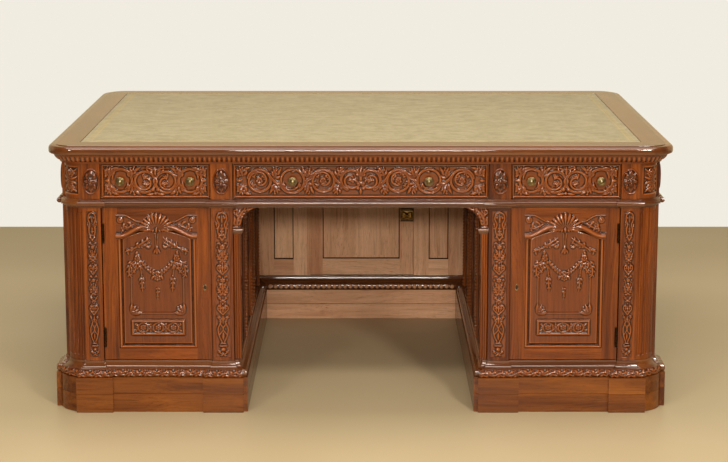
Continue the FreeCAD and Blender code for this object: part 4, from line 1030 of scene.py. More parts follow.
@dataclass
class FriezeCarving:
    """Running vines of the drawers and of the fixed frieze boards."""

    pitch: float = 1.3
    rise: float = 6.4
    reach: float = 38.0
    half_height: float = 51.0
    groove: float = 0.42
    border: Triple = (4.2, 3.4, 5.2)
    corner: Motif = (Leaf(((20, 14), (17, 27), (10, 39)), 17.0), Lobe(((24, 31), (31, 37), (43, 40)), 5.0),
                     Berry(((6, 14),), 4.2))
    bud: Motif = (Lobe(((4, 0), (10, 0), (17, 0)), 5.0),)
    knob_leaves: Motif = (
        Lobe(((-117, 24), (-124, 16), (-125, 4)), 3.6, 5.12), Lobe(((-90, -25), (-82, -18), (-80, -6)), 3.6, 5.12),
        Lobe(((-126, 26), (-134, 32), (-143, 36)), 5.0), Lobe(((-128, -24), (-136, -26), (-144, -22)), 4.6))
    heart_leaves: Motif = (
        Leaf(((-14, -6), (-22, -12), (-30, -10), (-34, -2)), 9.0),
        Leaf(((-38, 12), (-30, 14), (-25, 8)), 8.0, pairs=2),
        Leaf(((-28, 37), (-14, 36), (-5, 26)), 10.0, pairs=2), Lobe(((0, 42), (0, 32), (0, 14)), 5.0),
        Lobe(((-5, 12), (-9, 22), (-16, 30)), 4.6), Lobe(((-2, -12), (-4, -2), (-2, 8)), 4.4),
        Lobe(((-4, -38), (-14, -40), (-26, -41)), 4.6), Berry(((-7.5, -26),), 6.0, 7.6), Berry(((0, -38),), 4.6))
    heart_sprays: Motif = (Leaf(((-69, 9), (-68, 22), (-74, 38)), 17.0), Lobe(((-64, 24), (-54, 34), (-44, 40)), 5.2),
                           Berry(((-62, 41),), 4.0))
    lyre_sprays: Motif = (Leaf(((14, -12), (12, -26), (2, -39)), 15.0), Leaf(((12, 14), (18, 28), (32, 40)), 14.0))
    lyre_leaves: Motif = (
        Leaf(((-14, 6), (-20, 0), (-30, 0), (-34, 8)), 8.5), Leaf(((-4, 12), (-6, 26), (-16, 39)), 10.0),
        Lobe(((0, 40), (0, 28), (0, 16)), 5.0), Lobe(((0, -40), (0, -30), (0, -22)), 5.0),
        Berry(((-8, -22),), 6.0, 7.6), Berry(((-8, -8),), 5.0, 7.0), Berry(((0, 5),), 5.0))

    def ground(self, length: float) -> Relief:
        """Empty field of a length."""
        half = length / 2
        return Relief((-half, -self.half_height), (half, self.half_height), self.pitch, self.rise)

    def short(self) -> Relief:
        """Field of a side drawer: a scroll round each knob and a heart of two scrolls between them.

        Returns:
            The carved field.
        """
        relief = self.ground(318.0)
        knob, middle, turn = (-102.0, 0.0), (-31.0, -3.0), 495
        relief.stem(spiral(knob, 35.0, 33.0, 40, 370), 4.6, 3.6, self.rise, self.groove)
        relief.carve(self.knob_leaves)
        heart = spiral(middle, 32.0, 30.0, 205, turn)
        join = curve((-88, 32), (-78, 27), (-70, 10), (-65, -8), heart[0], heart[2])
        relief.stem(np.vstack([join, heart[3:]]), 4.6, 3.8, self.rise, self.groove)
        relief.stem(spiral(middle, 30.0, 9.0, turn, turn + 330), 3.8, 2.6, self.rise)
        relief.carve(self.heart_leaves)
        for flip in (-1, 1):
            relief.carve(self.heart_sprays, Place(flip=flip))
        return self.done(relief, -151.0)

    def long(self) -> Relief:
        """Field of the middle drawer: three scrolls on each side of a lyre.

        Returns:
            The carved field.
        """
        relief = self.ground(746.0)
        self.running_vine(relief, (Scroll(-296, 34), Scroll(-200, 36, True), Scroll(-110, 34)))
        self.lyre(relief, -80.0)
        return self.done(relief, -365.0)

    def end(self) -> Relief:
        """Field of an end board: two scrolls on each side of a lyre.

        Returns:
            The carved field.
        """
        relief = self.ground(431.0)
        self.running_vine(relief, (Scroll(-155, 33), Scroll(-80, 32)))
        self.lyre(relief, -50.0)
        return self.done(relief, -208.0)

    def running_vine(self, relief: Relief, scrolls: Sequence[Scroll]) -> None:
        """Carve a vine that winds over and under a row of scrolls, with leaves in the gaps.

        Args:
            relief: Ground to carve.
            scrolls: Scrolls from the outer end to the middle; the vine passes over the first.
        """
        last = None
        flip = 1
        for scroll in scrolls:
            entry = 180 - flip * 15
            inner = scroll.radius * 0.93
            ring = spiral(scroll.centre, scroll.radius, inner, entry, entry - flip * 325)
            relief.stem(ring, 4.6, 3.6, self.rise, self.groove)
            share, turn = (0.6, 500) if scroll.knob else (0.3, 640)
            curl = spiral(scroll.centre, inner, scroll.radius * share, entry - flip * 325, entry - flip * turn)
            relief.stem(curl, 3.6, 2.6, self.rise * 0.95)
            self.fill_scroll(relief, scroll, curl, -flip)
            if last is not None:
                self.join_scrolls(relief, last, scroll, ring, flip)
            last = scroll
            flip = -flip

    def join_scrolls(self, relief: Relief, last: Scroll, scroll: Scroll, ring: Array, flip: int) -> None:
        """Carve the vine between two scrolls, and the leaves in the gap.

        Args:
            relief: Ground to carve.
            last: Scroll that the vine comes from.
            scroll: Scroll that it goes to.
            ring: Path of the vine round that scroll.
            flip: 1 when the vine passes over that scroll, -1 when it passes under.
        """
        start = last.u + last.radius * 0.8, -flip * last.radius * 0.55
        join = curve(start, ((start[0] + ring[0][0]) / 2, flip * 2.0), ring[0], ring[3])
        relief.stem(join, 4.4, 4.4, self.rise, self.groove)
        gap = (last.u + last.radius + scroll.u - scroll.radius) / 2
        for up in (-1, 1):
            bend = up * flip
            relief.carve((Leaf(((-4, 9), (1, 20), (bend * 7, self.reach)), 15.0),
                          Lobe(((3, 16), (bend * -9, 25), (bend * -17, self.reach)), 4.6),
                          Berry(((bend * -2, self.reach),), 3.6)), Place(gap, flip=up))

    def fill_scroll(self, relief: Relief, scroll: Scroll, curl: Array, hand: int) -> None:
        """Carve the leaves inside one scroll.

        Args:
            relief: Ground to carve.
            scroll: Scroll to fill.
            curl: Path of the vine's inner end.
            hand: 1 when the vine turns left.
        """
        centre = np.array(scroll.centre)
        if scroll.knob:
            for angle in (70, 190, 310):
                way = heading(angle)
                side = np.array([-way[1], way[0]]) * hand
                root = centre + way * scroll.radius * 0.84
                relief.lobe(curve(root, root - way * 3 + side * 6, root - way * 8 + side * 11), 3.4, self.rise * 0.8)
            return
        relief.flower(scroll.centre, (scroll.radius * 0.32,) * 2, 5, self.rise + 0.8, 90 * hand)
        for share in (0.05, 0.3, 0.55):
            root = curl[int(len(curl) * share)]
            inward = centre - root
            side = np.array([-inward[1], inward[0]]) * hand
            tip = root + inward * 0.45 + side * 0.6
            relief.leaf(curve(root, root + inward * 0.3 + side * 0.25, tip), 7.5, self.rise, 2)

    def lyre(self, relief: Relief, edge: float) -> None:
        """Carve the left half of the lyre in the middle of a long field.

        Args:
            relief: Ground to carve.
            edge: Place where the vine reaches it.
        """
        middle = (-28.0, 3.0)
        bowl = spiral(middle, 30.0, 28.0, 250, -20)
        relief.stem(bowl, 4.4, 3.8, self.rise, self.groove)
        relief.stem(spiral(middle, 28.0, 9.0, -20, -300), 3.8, 2.6, self.rise)
        relief.stem(curve((edge - 4, 22), (edge + 8, 2), (-44, -24), bowl[0]), 4.6, 4.4, self.rise, self.groove)
        relief.carve(self.lyre_sprays, Place(edge))
        relief.carve(self.lyre_leaves)

    def done(self, relief: Relief, edge: float) -> Relief:
        """Carve the leaves at the outer end of a field, mirror it, round it off and frame it.

        Args:
            relief: Field carved so far.
            edge: Place of its outer end.

        Returns:
            The same field.
        """
        for flip in (-1, 1):
            relief.carve(self.corner, Place(edge, flip=flip))
        relief.carve(self.bud, Place(edge))
        relief.mirror()
        relief.soften()
        width, slope, rise = self.border
        u = np.minimum(relief.u - relief.u[0], relief.u[-1] - relief.u)
        v = np.minimum(relief.v - relief.v[0], relief.v[-1] - relief.v)
        inset = np.minimum(u[None, :], v[:, None])
        share = np.clip(1 - (inset - width) / slope, 0, 1)
        quirk = 1.6 * np.clip(1 - np.abs(inset - 0.62 * width) / 1.3, 0, 1)
        edging = rise * np.sin(share * math.pi / 2) ** 0.8 - quirk
        relief.heights = np.where(inset < width + slope, edging, relief.heights)
        # painted shade over the frame round the field, added to its carve value
        relief.shade = np.where(inset < width, -0.3, 0.0)
        return relief


@dataclass
class DoorCarving:
    """Carving of a pedestal door: the fielded panel and the crest over it."""

    pitch: float = 1.4
    half: float = 114.8
    bottom: float = 187.0
    spring: float = 523.0
    crown: float = 560.0
    plaque_half: Point = (80.0, 24.5)
    plaque_middle: float = 250.5
    spray: Motif = (
        Leaf(((-64, 494), (-46, 505), (-31, 514), (-20, 522)), 9.0, 5.2),
        Leaf(((-52, 499), (-36, 499), (-26, 506), (-19, 511)), 8.0, 4.8, 2),
        Lobe(((-34, 499), (-24, 494), (-18, 500)), 4.4, 4.6),
        Stem(((-40, 505), (-60, 494), (-78, 485), (-92, 481)), 2.4, 4.0, 1.6),
        Leaf(((-70, 488), (-82, 486), (-94, 480)), 7.0, 4.2, 2), Lobe(((-84, 483), (-85, 476), (-82, 471)), 3.0, 4.0),
        Stem(((-4, 534), (-2.5, 512), (-3, 492)), 1.3, 2.8, 1.3, 0.0), Lobe(((0, 496), (0, 486), (0, 474)), 5.5, 5.0),
        Lobe(((-2, 490), (-6, 482), (-9, 476)), 3.6, 4.4))
    garland: tuple[Point, ...] = ((-58, 458), (-44, 446), (-30, 430), (-16, 419), (0, 415))
    cluster: tuple[Point, ...] = ((-62, 456), (-74, 446), (-82, 430), (-82, 412), (-74, 402))
    drops: Motif = (
        Lobe(((-6, 408), (-13, 404), (-17, 397)), 4.0, 4.4), Lobe(((-58, 470), (-60, 476), (-57, 480)), 4.0, 4.6),
        Leaf(((-64, 450), (-62, 436), (-66, 424), (-76, 414)), 9.0, 4.4),
        Leaf(((-56, 450), (-52, 436), (-42, 428)), 8.0, 4.2),
        Stem(((-54, 446), (-48, 424), (-46, 400)), 1.4, 2.6, 1.2, 0.0),
        Leaf(((-46, 404), (-46, 390), (-45, 376), (-44, 360)), 9.0, 4.8),
        Leaf(((0, 374), (0, 362), (0, 350), (0, 336)), 6.0, 4.2), Berry(((-46, 408),), 3.0, 4.0))
    lines: Motif = (
        Stem(((-77.0, 402.0), (-77.0, 322.0)), 1.6, 2.2, 1.6, 0.0),
        Stem(((-60.0, 294.0), (0.0, 294.0)), 1.6, 2.2, 1.6, 0.0),
        Berry(((-72, 300),), 3.6, 5.4), Berry(((-59, 312),), 2.6, 4.6))
    crest_leaves: Motif = (
        Berry(((-106, 576),), 7.5, 3.6), Leaf(((-104, 552), (-92, 550), (-78, 556), (-64, 564)), 9.0, 3.6),
        Lobe(((-88, 552), (-96, 560), (-92, 566)), 3.6, 3.0), Lobe(((-72, 560), (-80, 568), (-86, 570)), 3.2, 3.0))
    shell_foot: Motif = (
        Berry(((-33, 551),), 3.0, 8.8), Lobe(((-22, 556), (-16, 548), (-20, 542)), 4.0, 7.0),
        Lobe(((-10, 556), (-9, 548), (-12, 540)), 4.4, 7.4), Lobe(((0, 560), (0, 550), (0, 539)), 5.0, 8.6))

    def arch(self, u: Array) -> Array:
        """Height of the panel's arch at places across the door.

        Args:
            u: Places across.

        Returns:
            Heights at the places.
        """
        rise = self.crown - self.spring
        radius = (self.half ** 2 + rise ** 2) / (2 * rise)
        return self.crown - radius + np.sqrt(np.maximum(radius ** 2 - np.clip(u, -self.half, self.half) ** 2, 0))

    def panel(self) -> Relief:
        """Sprays, swag, drops, corner leaves and a plaque on the fielded panel.

        Returns:
            The carved ground.
        """
        relief = Relief((-self.half, self.bottom), (self.half, self.crown), self.pitch)
        relief.carve(self.spray)
        self.swag(relief)
        self.corner(relief)
        relief.mirror()
        self.plaque(relief)
        relief.soften()
        self.field(relief)
        return relief

    def swag(self, relief: Relief) -> None:
        """Carve the garland, the leaf clusters that hold it and the drops under them.

        Args:
            relief: Ground to carve.
        """
        garland = curve(*self.garland)
        relief.stem(garland, 2.2, 2.6, 4.0)
        for share in np.linspace(0.12, 0.92, 7):
            root = garland[int(share * (len(garland) - 1))]
            for hand in (-1, 1):
                tip = root + np.array([4.5 + 2 * share, hand * 7.0 - 2])
                relief.lobe(curve(root, (root + tip) / 2 + (0, hand * 1.5), tip), 2.6, 4.4)
        relief.flower((0, 402), (11, 11), 6, 5.4)
        relief.flower((-58, 462), (10, 11), 5, 5.2, 54)
        cluster = curve(*self.cluster)
        relief.stem(cluster, 1.8, 1.4, 3.4)
        relief.leaf(cluster[4:], 11.0, 4.8, 4)
        relief.carve(self.drops)

    def corner(self, relief: Relief) -> None:
        """Carve the thin lines round the lower panel and the fan of leaves in its corner.

        Args:
            relief: Ground to carve.
        """
        relief.carve(self.lines)
        foot = np.array([-80.0, 291.0])
        for angle, length in ((8, 30), (35, 29), (60, 30), (84, 32)):
            relief.lobe(foot + np.outer((0.15, 0.6, 1.0), heading(angle)) * length, 5.0, 4.6)

    def plaque(self, relief: Relief) -> None:
        """Carve the oblong plaque with three roundels and interlaced bands.

        Args:
            relief: Ground to carve.
        """
        level = self.plaque_middle
        inset = np.minimum((self.plaque_half[0] - np.abs(relief.u))[None, :],
                           (self.plaque_half[1] - np.abs(relief.v - level))[:, None])
        edging = 5.0 * np.clip(inset / 3.5, 0, 1) * np.clip((10.5 - inset) / 4.0, 0, 1)
        ground = np.where(inset > 3, 1.2, 0.0)
        inner = Relief((relief.u[0], relief.v[0]), (relief.u[-1], relief.v[-1]), self.pitch)
        for middle in (-45.0, 0.0, 45.0):
            inner.ring((middle, level), 14.5, 2.0, 3.6)
            inner.flower((middle, level), (10.0, 10.0), 6, 3.6)
        for flip in (-1, 1):
            for middle in (-22.5, 22.5):
                inner.carve((Stem(((-17, -13), (-6, -7), (6, 7), (17, 13)), 1.9, 3.2, 1.9),
                             Lobe(((0, 5), (0, 10), (0, 14)), 3.0, 3.0)), Place(middle, level, flip=flip))
            for hand in (-1, 1):
                inner.carve((Leaf(((58, 0), (64, 7), (69, 13)), 6.0, 3.4, 2),), Place(0.0, level, hand, flip))
        carved = np.where(inset > 7, inner.heights + 1.2, 0)
        relief.heights = np.maximum(relief.heights, np.maximum(np.maximum(edging, ground), carved))

    def field(self, relief: Relief) -> None:
        """Sink the rim of the panel round its raised field.

        Args:
            relief: Ground to carve.
        """
        u, v = np.meshgrid(relief.u, relief.v)
        inset = np.minimum(np.minimum(self.half - np.abs(u), v - self.bottom), self.arch(u) - v)
        step = np.clip((inset - 11.0) / 5.0, 0, 1)
        lip = 5.4 * np.clip(1 - ((inset - 4.4) / 4.4) ** 2, 0, 1) ** 0.55
        relief.heights = relief.heights + 5.0 * step ** 1.5 + lip

    @staticmethod
    def eased(share: Array) -> Array:
        """Share from 0 to 1 that starts and ends gently."""
        share = np.clip(share, 0, 1)
        return share * share * (3 - 2 * share)

    def band(self, u: Array) -> Array:
        """Height of the middle of the swan neck at places across the door."""
        return 526 + 28 * self.eased((110 - np.abs(u)) / 72)

    def upper(self, u: Array) -> Array:
        """Height of the upper line of the crest at places across the door.

        Args:
            u: Places across.

        Returns:
            Heights at the places.
        """
        line = 592 - 20 * self.eased((96 - np.abs(u)) / 48)
        shell = 546 + 52 * np.sqrt(np.clip(1 - (u / 47) ** 2, 0, 1))
        return np.maximum(line, shell) + 1.5

    def lower(self, u: Array) -> Array:
        """Height of the lower edge of the crest at places across the door."""
        return np.where(np.abs(u) < 36, 541 - 3 * np.cos(u / 36 * math.pi), self.band(u) - 7.5)

    def crest(self) -> Relief:
        """Swan neck, scallop shell with scrolls, and the leaf and dot in each upper corner.

        Returns:
            The carved ground.
        """
        relief = Relief((-119.0, 516.0), (119.0, 602.0), self.pitch * 0.85)
        across = np.linspace(-118, -34, 30)
        neck = np.stack([across, self.band(across)], -1)
        for lift, width, rise in ((2.0, 7.0, 8.5), (-5.4, 2.6, 4.6), (9.0, 2.0, 4.4)):
            relief.stroke(neck + (0, lift), (width, width), (rise, rise))
        line = np.linspace(-118, -46, 24)
        relief.stroke(np.stack([line, self.upper(line) - 3.0], -1), (1.9, 1.9), (3.4, 3.4))
        relief.ring((-106, 576), 7.5, 1.6, 2.8)
        relief.carve(self.crest_leaves)
        self.shell(relief)
        relief.mirror()
        relief.soften()
        return relief

    def shell(self, relief: Relief) -> None:
        """Carve the left half of the scallop shell and the scroll under it.

        Args:
            relief: Ground to carve.
        """
        foot = np.array([0.0, 548.0])
        for rib in range(7):
            way = heading(90 + rib * 15.0) * (1.14, 1.0)
            path = foot + np.outer((0.1, 0.4, 0.75, 1.0), way) * (46 - 0.9 * rib)
            relief.stroke(path, (1.2, 2.8, 4.9, 5.8, 4.0), (5.0, 8.0, 9.5, 9.5, 6.5), 0.1)
        relief.stroke(spiral((-33, 551), 9.0, 2.5, 60, -360), (3.2, 2.2), (7.5, 8.5))
        relief.carve(self.shell_foot)


@dataclass
class StripCarving:
    """Candelabra of leaves, buds and vases up a pilaster; motifs are drawn for one width and scaled to others."""

    width: float
    drawn: float = 44.0
    pitch: float = 1.25
    rise: float = 5.0
    span: Point = (162.3, 603.7)
    vase: Motif = (
        Leaf(((0, -4), (-8, 2), (-15, 10)), 7, pairs=2), Berry(((0, 14),), 7, 6.0),
        Stem(((-4, 38), (-12, 56), (-15, 76), (-9, 92), (-5, 100)), 2.2),
        Stem(((-12, 58), (0, 76), (-10, 94)), 1.8, 4.0, 1.8),
        Lobe(((0, 42), (0, 52), (0, 64)), 4), Leaf(((-4, 102), (-12, 108), (-15, 118)), 7, pairs=2),
        Berry(((-11, 112),), 3.2, 6.0), Lobe(((0, 94), (0, 104), (0, 116)), 4))
    cup: Motif = (
        Stem(((0, 0), (-8, 8), (-16, 18), (-12, 28), (-6, 24)), 2.2, end=1.6), Leaf(((-2, 4), (-8, 20), (-6, 36)), 7),
        Berry(((-12, 26),), 3.0, 5.6), Berry(((0, 34),), 3.6, 6.0), Leaf(((0, 38), (-6, 46), (-14, 56)), 7, pairs=2),
        Lobe(((0, 6), (0, 16), (0, 26)), 3.4))
    bouquet: Motif = (
        Leaf(((0, 0), (-9, 10), (-16, 26)), 8), Leaf(((0, 12), (-5, 24), (-12, 40)), 7),
        Lobe(((0, 8), (0, 22), (0, 34)), 4),
        Lobe(((-4, 52), (-10, 56), (-15, 54)), 3), Berry(((-14, 44),), 2.8, 5.6))
    lyre: Motif = (
        Stem(((0, -4), (-7, 8), (-12, 26), (-8, 44), (-14, 60), (-11, 74), (0, 80)), 2.2),
        Berry(((-8, 64),), 4.0, 6.2),
        Berry(((-9, 6),), 3.4, 6.0), Leaf(((0, 8), (0, 24), (0, 44)), 7),
        Leaf(((-11, 30), (-15, 40), (-17, 52)), 5, 4.0, 2),
        Lobe(((0, 50), (0, 58), (0, 70)), 3.4))

    def relief(self) -> Relief:
        """Carve the left half from the foot up, then mirror it.

        Returns:
            The carved ground.
        """
        half = self.width / 2 - 0.3
        relief = Relief((-half, self.span[0]), (half, self.span[1]), self.pitch, self.rise)
        size = self.width / self.drawn
        for motif, low in ((self.vase, 172.0), (self.cup, 292.0), (self.bouquet, 352.0), (self.cup, 414.0),
                           (self.bouquet, 452.0), (self.lyre, 520.0)):
            relief.carve(motif, Place(0.0, low, size))
        for middle in (396.0, 496.0):
            relief.flower((0, middle), (8 * size, 8 * size), 6, self.rise + 0.4)
        for reach, height, width in ((9, 197.0, 3.0), (6, 205.0, 2.6)):
            bar = np.array([(-reach * size, height), (0, height)])
            relief.stroke(bar, (width, width), (self.rise, self.rise))
        relief.mirror()
        relief.soften()
        return relief


# ---- sub-assemblies ----


FRONT = (1.0, 0.0, 0.0)
BACK = (-1.0, 0.0, 0.0)
LEFT_END = (0.0, -1.0, 0.0)
RIGHT_END = (0.0, 1.0, 0.0)
SIDES = (("left", -1, LEFT_END), ("right", 1, RIGHT_END))
ENDS = (("front", -1, FRONT), ("back", 1, BACK))
CORNERS = ((-1, -1), (-1, 1), (1, -1), (1, 1))
SQUARE = ((-1, -1), (1, -1), (1, 1), (-1, 1))
PILASTER_FACE = (883.0, 578.0)
BODY_FACE = (874.0, 569.0)
COLUMN = (814.0, 509.0)
COLUMN_RADIUS = 60.0
INNER_PILASTER = 407.0
OUTER_PILASTER = 787.5
END_PILASTERS = (("front", -483.0), ("middle", 0.0), ("rear", 483.0))
FRIEZE_MIDDLE = 693.0
LOCK_HEIGHT = 373.0


@dataclass
class Assembly:
    """Part of the desk that turns drafts into pieces, with the materials of a palette."""

    palette: Palette

    def piece(self, draft: Draft, name: str, body: str, finish: Finish, grain: int = 0, node: str = "",
              smooth: float = 50.0) -> Object:
        """Turn a draft into a piece of the desk.

        Args:
            draft: Draft of the piece.
            name: Name of the piece.
            body: Body that it moves with.
            finish: Finish that it gets.
            grain: Axis that its grain runs along, 0 for X.
            node: Node whose solid it stands for, if any.
            smooth: Edges flatter than this angle are shaded smooth.

        Returns:
            The piece.
        """
        points = np.vstack(draft.points)
        flat = np.concatenate([group.ravel() for group in draft.faces])
        sizes = np.concatenate([np.full(len(group), group.shape[1]) for group in draft.faces])
        mesh = bpy.data.meshes.new(name)
        mesh.vertices.add(len(points))
        mesh.vertices.foreach_set("co", (points * MM).astype(np.float32).ravel())
        mesh.loops.add(len(flat))
        mesh.loops.foreach_set("vertex_index", flat.astype(np.int32))
        mesh.polygons.add(len(sizes))
        mesh.polygons.foreach_set("loop_start", np.concatenate([[0], np.cumsum(sizes)[:-1]]).astype(np.int32))
        mesh.polygons.foreach_set("use_smooth", np.ones(len(sizes), bool))
        mesh.update(calc_edges=True)
        mesh.validate()
        mesh.set_sharp_from_angle(angle=math.radians(smooth))
        made = stand(name, mesh)
        order = [grain] + [axis for axis in range(3) if axis != grain]
        shift = seeded(name).uniform(*GRAIN_SHIFT, 3) if finish is not Finish.LEATHER else np.zeros(3)
        mark(mesh, "board_uvw", "FLOAT_VECTOR", "POINT", points[:, order] * MM + shift)
        mark(mesh, "board_tone", "FLOAT", "POINT", np.full(len(points), seeded(name).uniform(-0.5, 0.5)))
        mark(mesh, "carve", "FLOAT", "POINT", np.clip(np.concatenate(draft.carve), -1, 1))
        self.palette.dress(made, finish)
        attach(made, body)
        if node:
            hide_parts(node)
        LOG.info("%s: %d faces on %s", name, len(sizes), body)
        return made


@dataclass
class CaseWork(Assembly):
    """Plain joinery that keeps its solids: each board gets its own grain, and edges are eased."""

    ease: float = 0.9
    weld: float = 0.01
    grid: float = 0.02
    ledge: float = 105.0
    wall: float = 382.0
    inner: tuple[str, ...] = ("kneehole_fixed_panels", "kneehole_door_frame", "kneehole_door_panel")
    lining: tuple[str, ...] = ("drawer_box", "shelf", "shelf_pins", "drawer_runners", "drawer_partitions",
                               "locating_dowels", "frame_rails")
    brass: tuple[str, ...] = ("hardware", "hinge", "bolt")
    crisp: tuple[str, ...] = ("plinth", "door_frame", "kneehole_fixed", "pins", "dowels") + brass

    def finish_of(self, name: str) -> Finish:
        """Finish that a node's name calls for.

        Args:
            name: Name of the node.

        Returns:
            Its finish.
        """
        if name.endswith(self.lining):
            return Finish.LINING
        if "hinge" in name or name.endswith("door_hardware"):
            return Finish.HINGE
        if any(word in name for word in self.brass):
            return Finish.LOCK
        if name in ("waist_moulding", "kneehole_base") or name.endswith("base_moulding"):
            return Finish.TOP
        if name.endswith("plinth"):
            return Finish.PLINTH
        # the kneehole's walls get the darker copy, painted shade
        if name.endswith("carcass_boards"):
            return Finish.WALL
        # the kneehole's inner panels get the lighter copy, painted light
        return Finish.KNEEHOLE if name in self.inner else Finish.CASE

    def build(self) -> None:
        """Dress every node that is still shown."""
        for name, node in sorted(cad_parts.items()):
            if node.hide_render:
                continue
            self.mark_boards(name, node.data)
            self.palette.dress(node, self.finish_of(name))
            # the kneehole's plinth faces get the lighter copy, painted light
            if name == "kneehole_base":
                self.split(node, Finish.KNEEHOLE, lambda spot: spot.z < self.ledge * MM)
            # outer faces of the carcass keep the case finish; the kneehole's walls stay in the darker copy, painted
            # shade
            if name.endswith("carcass_boards"):
                self.split(node, Finish.CASE, lambda spot: abs(spot.x) > self.wall * MM)
            self.ease_edges(node)
            LOG.info("%s keeps its solid", name)

    def split(self, node: Object, second: Finish, chosen: Callable[[Vector], bool]) -> None:
        """Give some faces of a node a second finish.

        Args:
            node: The node.
            second: Finish of the chosen faces.
            chosen: Tells from the middle of a face whether it gets that finish.
        """
        node.data.materials.append(self.palette.made[second])
        for polygon in node.data.polygons:
            polygon.material_index = int(chosen(polygon.center))

    def ease_edges(self, node: Object) -> None:
        """Break the sharp edges of a node as a plane would; small and crisp parts are only shaded.

        Args:
            node: The node.
        """
        if any(word in node.name for word in self.crisp):
            node.data.polygons.foreach_set("use_smooth", np.ones(len(node.data.polygons), bool))
            node.data.set_sharp_from_angle(angle=math.radians(30))
            return
        weld = node.modifiers.new("weld", "WELD")
        weld.merge_threshold = self.weld * MM
        bevel = node.modifiers.new("eased", "BEVEL")
        bevel.width = self.ease * MM
        bevel.segments = 2
        bevel.limit_method = "ANGLE"
        bevel.angle_limit = math.radians(40)
        bevel.use_clamp_overlap = False
        normals = node.modifiers.new("normals", "WEIGHTED_NORMAL")
        normals.keep_sharp = False

    def mark_boards(self, name: str, mesh: Mesh) -> None:
        """Lay grain along each board of a node.

        Args:
            name: Name of the node.
            mesh: Its mesh, which gets attributes only.
        """
        points = np.zeros(len(mesh.vertices) * 3, np.float32)
        mesh.vertices.foreach_get("co", points)
        points = points.reshape(-1, 3).astype(float)
        corners = np.zeros(len(mesh.loops), np.int32)
        mesh.loops.foreach_get("vertex_index", corners)
        starts = np.zeros(len(mesh.polygons), np.int32)
        mesh.polygons.foreach_get("loop_start", starts)
        _, merged = np.unique(np.round(points / (self.grid * MM)).astype(int), axis=0, return_inverse=True)
        board = self.find_boards(merged.ravel()[corners], starts)
        random = seeded(name)
        uvw = points[corners]
        tone = np.zeros(len(corners))
        for label in np.unique(board):
            chosen = board == label
            own = uvw[chosen]
            longest = int(np.argmax(np.ptp(own, axis=0)))
            turned = [longest] + [axis for axis in range(3) if axis != longest]
            uvw[chosen] = own[:, turned] + random.uniform(*GRAIN_SHIFT, 3)
            tone[chosen] = random.uniform(-1, 1)
        mark(mesh, "board_uvw", "FLOAT_VECTOR", "CORNER", uvw)
        mark(mesh, "board_tone", "FLOAT", "CORNER", tone)

    @staticmethod
    def find_boards(spots: Array, starts: Array) -> Array:
        """Tell the boards of a node apart: faces of one board share edges that no third face has.

        Args:
            spots: Number of the place of each face corner.
            starts: First corner of each face.

        Returns:
            Label of the board of each face corner.
        """
        sizes = np.diff(np.append(starts, len(spots)))
        face_of = np.repeat(np.arange(len(starts)), sizes)
        after = np.arange(len(spots)) + 1
        after[starts + sizes - 1] = starts
        edges = np.sort(np.stack([spots, spots[after]], -1), 1)
        order = np.lexsort((edges[:, 1], edges[:, 0]))
        edges, faces = edges[order], face_of[order]
        same = np.all(edges[1:] == edges[:-1], axis=1)
        alone = same & ~np.append(False, same[:-1]) & ~np.append(same[1:], False)
        first, second = faces[:-1][alone], faces[1:][alone]
        board = np.arange(len(starts))
        changed = True
        while changed:
            low = np.minimum(board[first], board[second])
            before = board.copy()
            np.minimum.at(board, first, low)
            np.minimum.at(board, second, low)
            board = board[board]
            changed = not np.array_equal(before, board)
        return board[face_of]


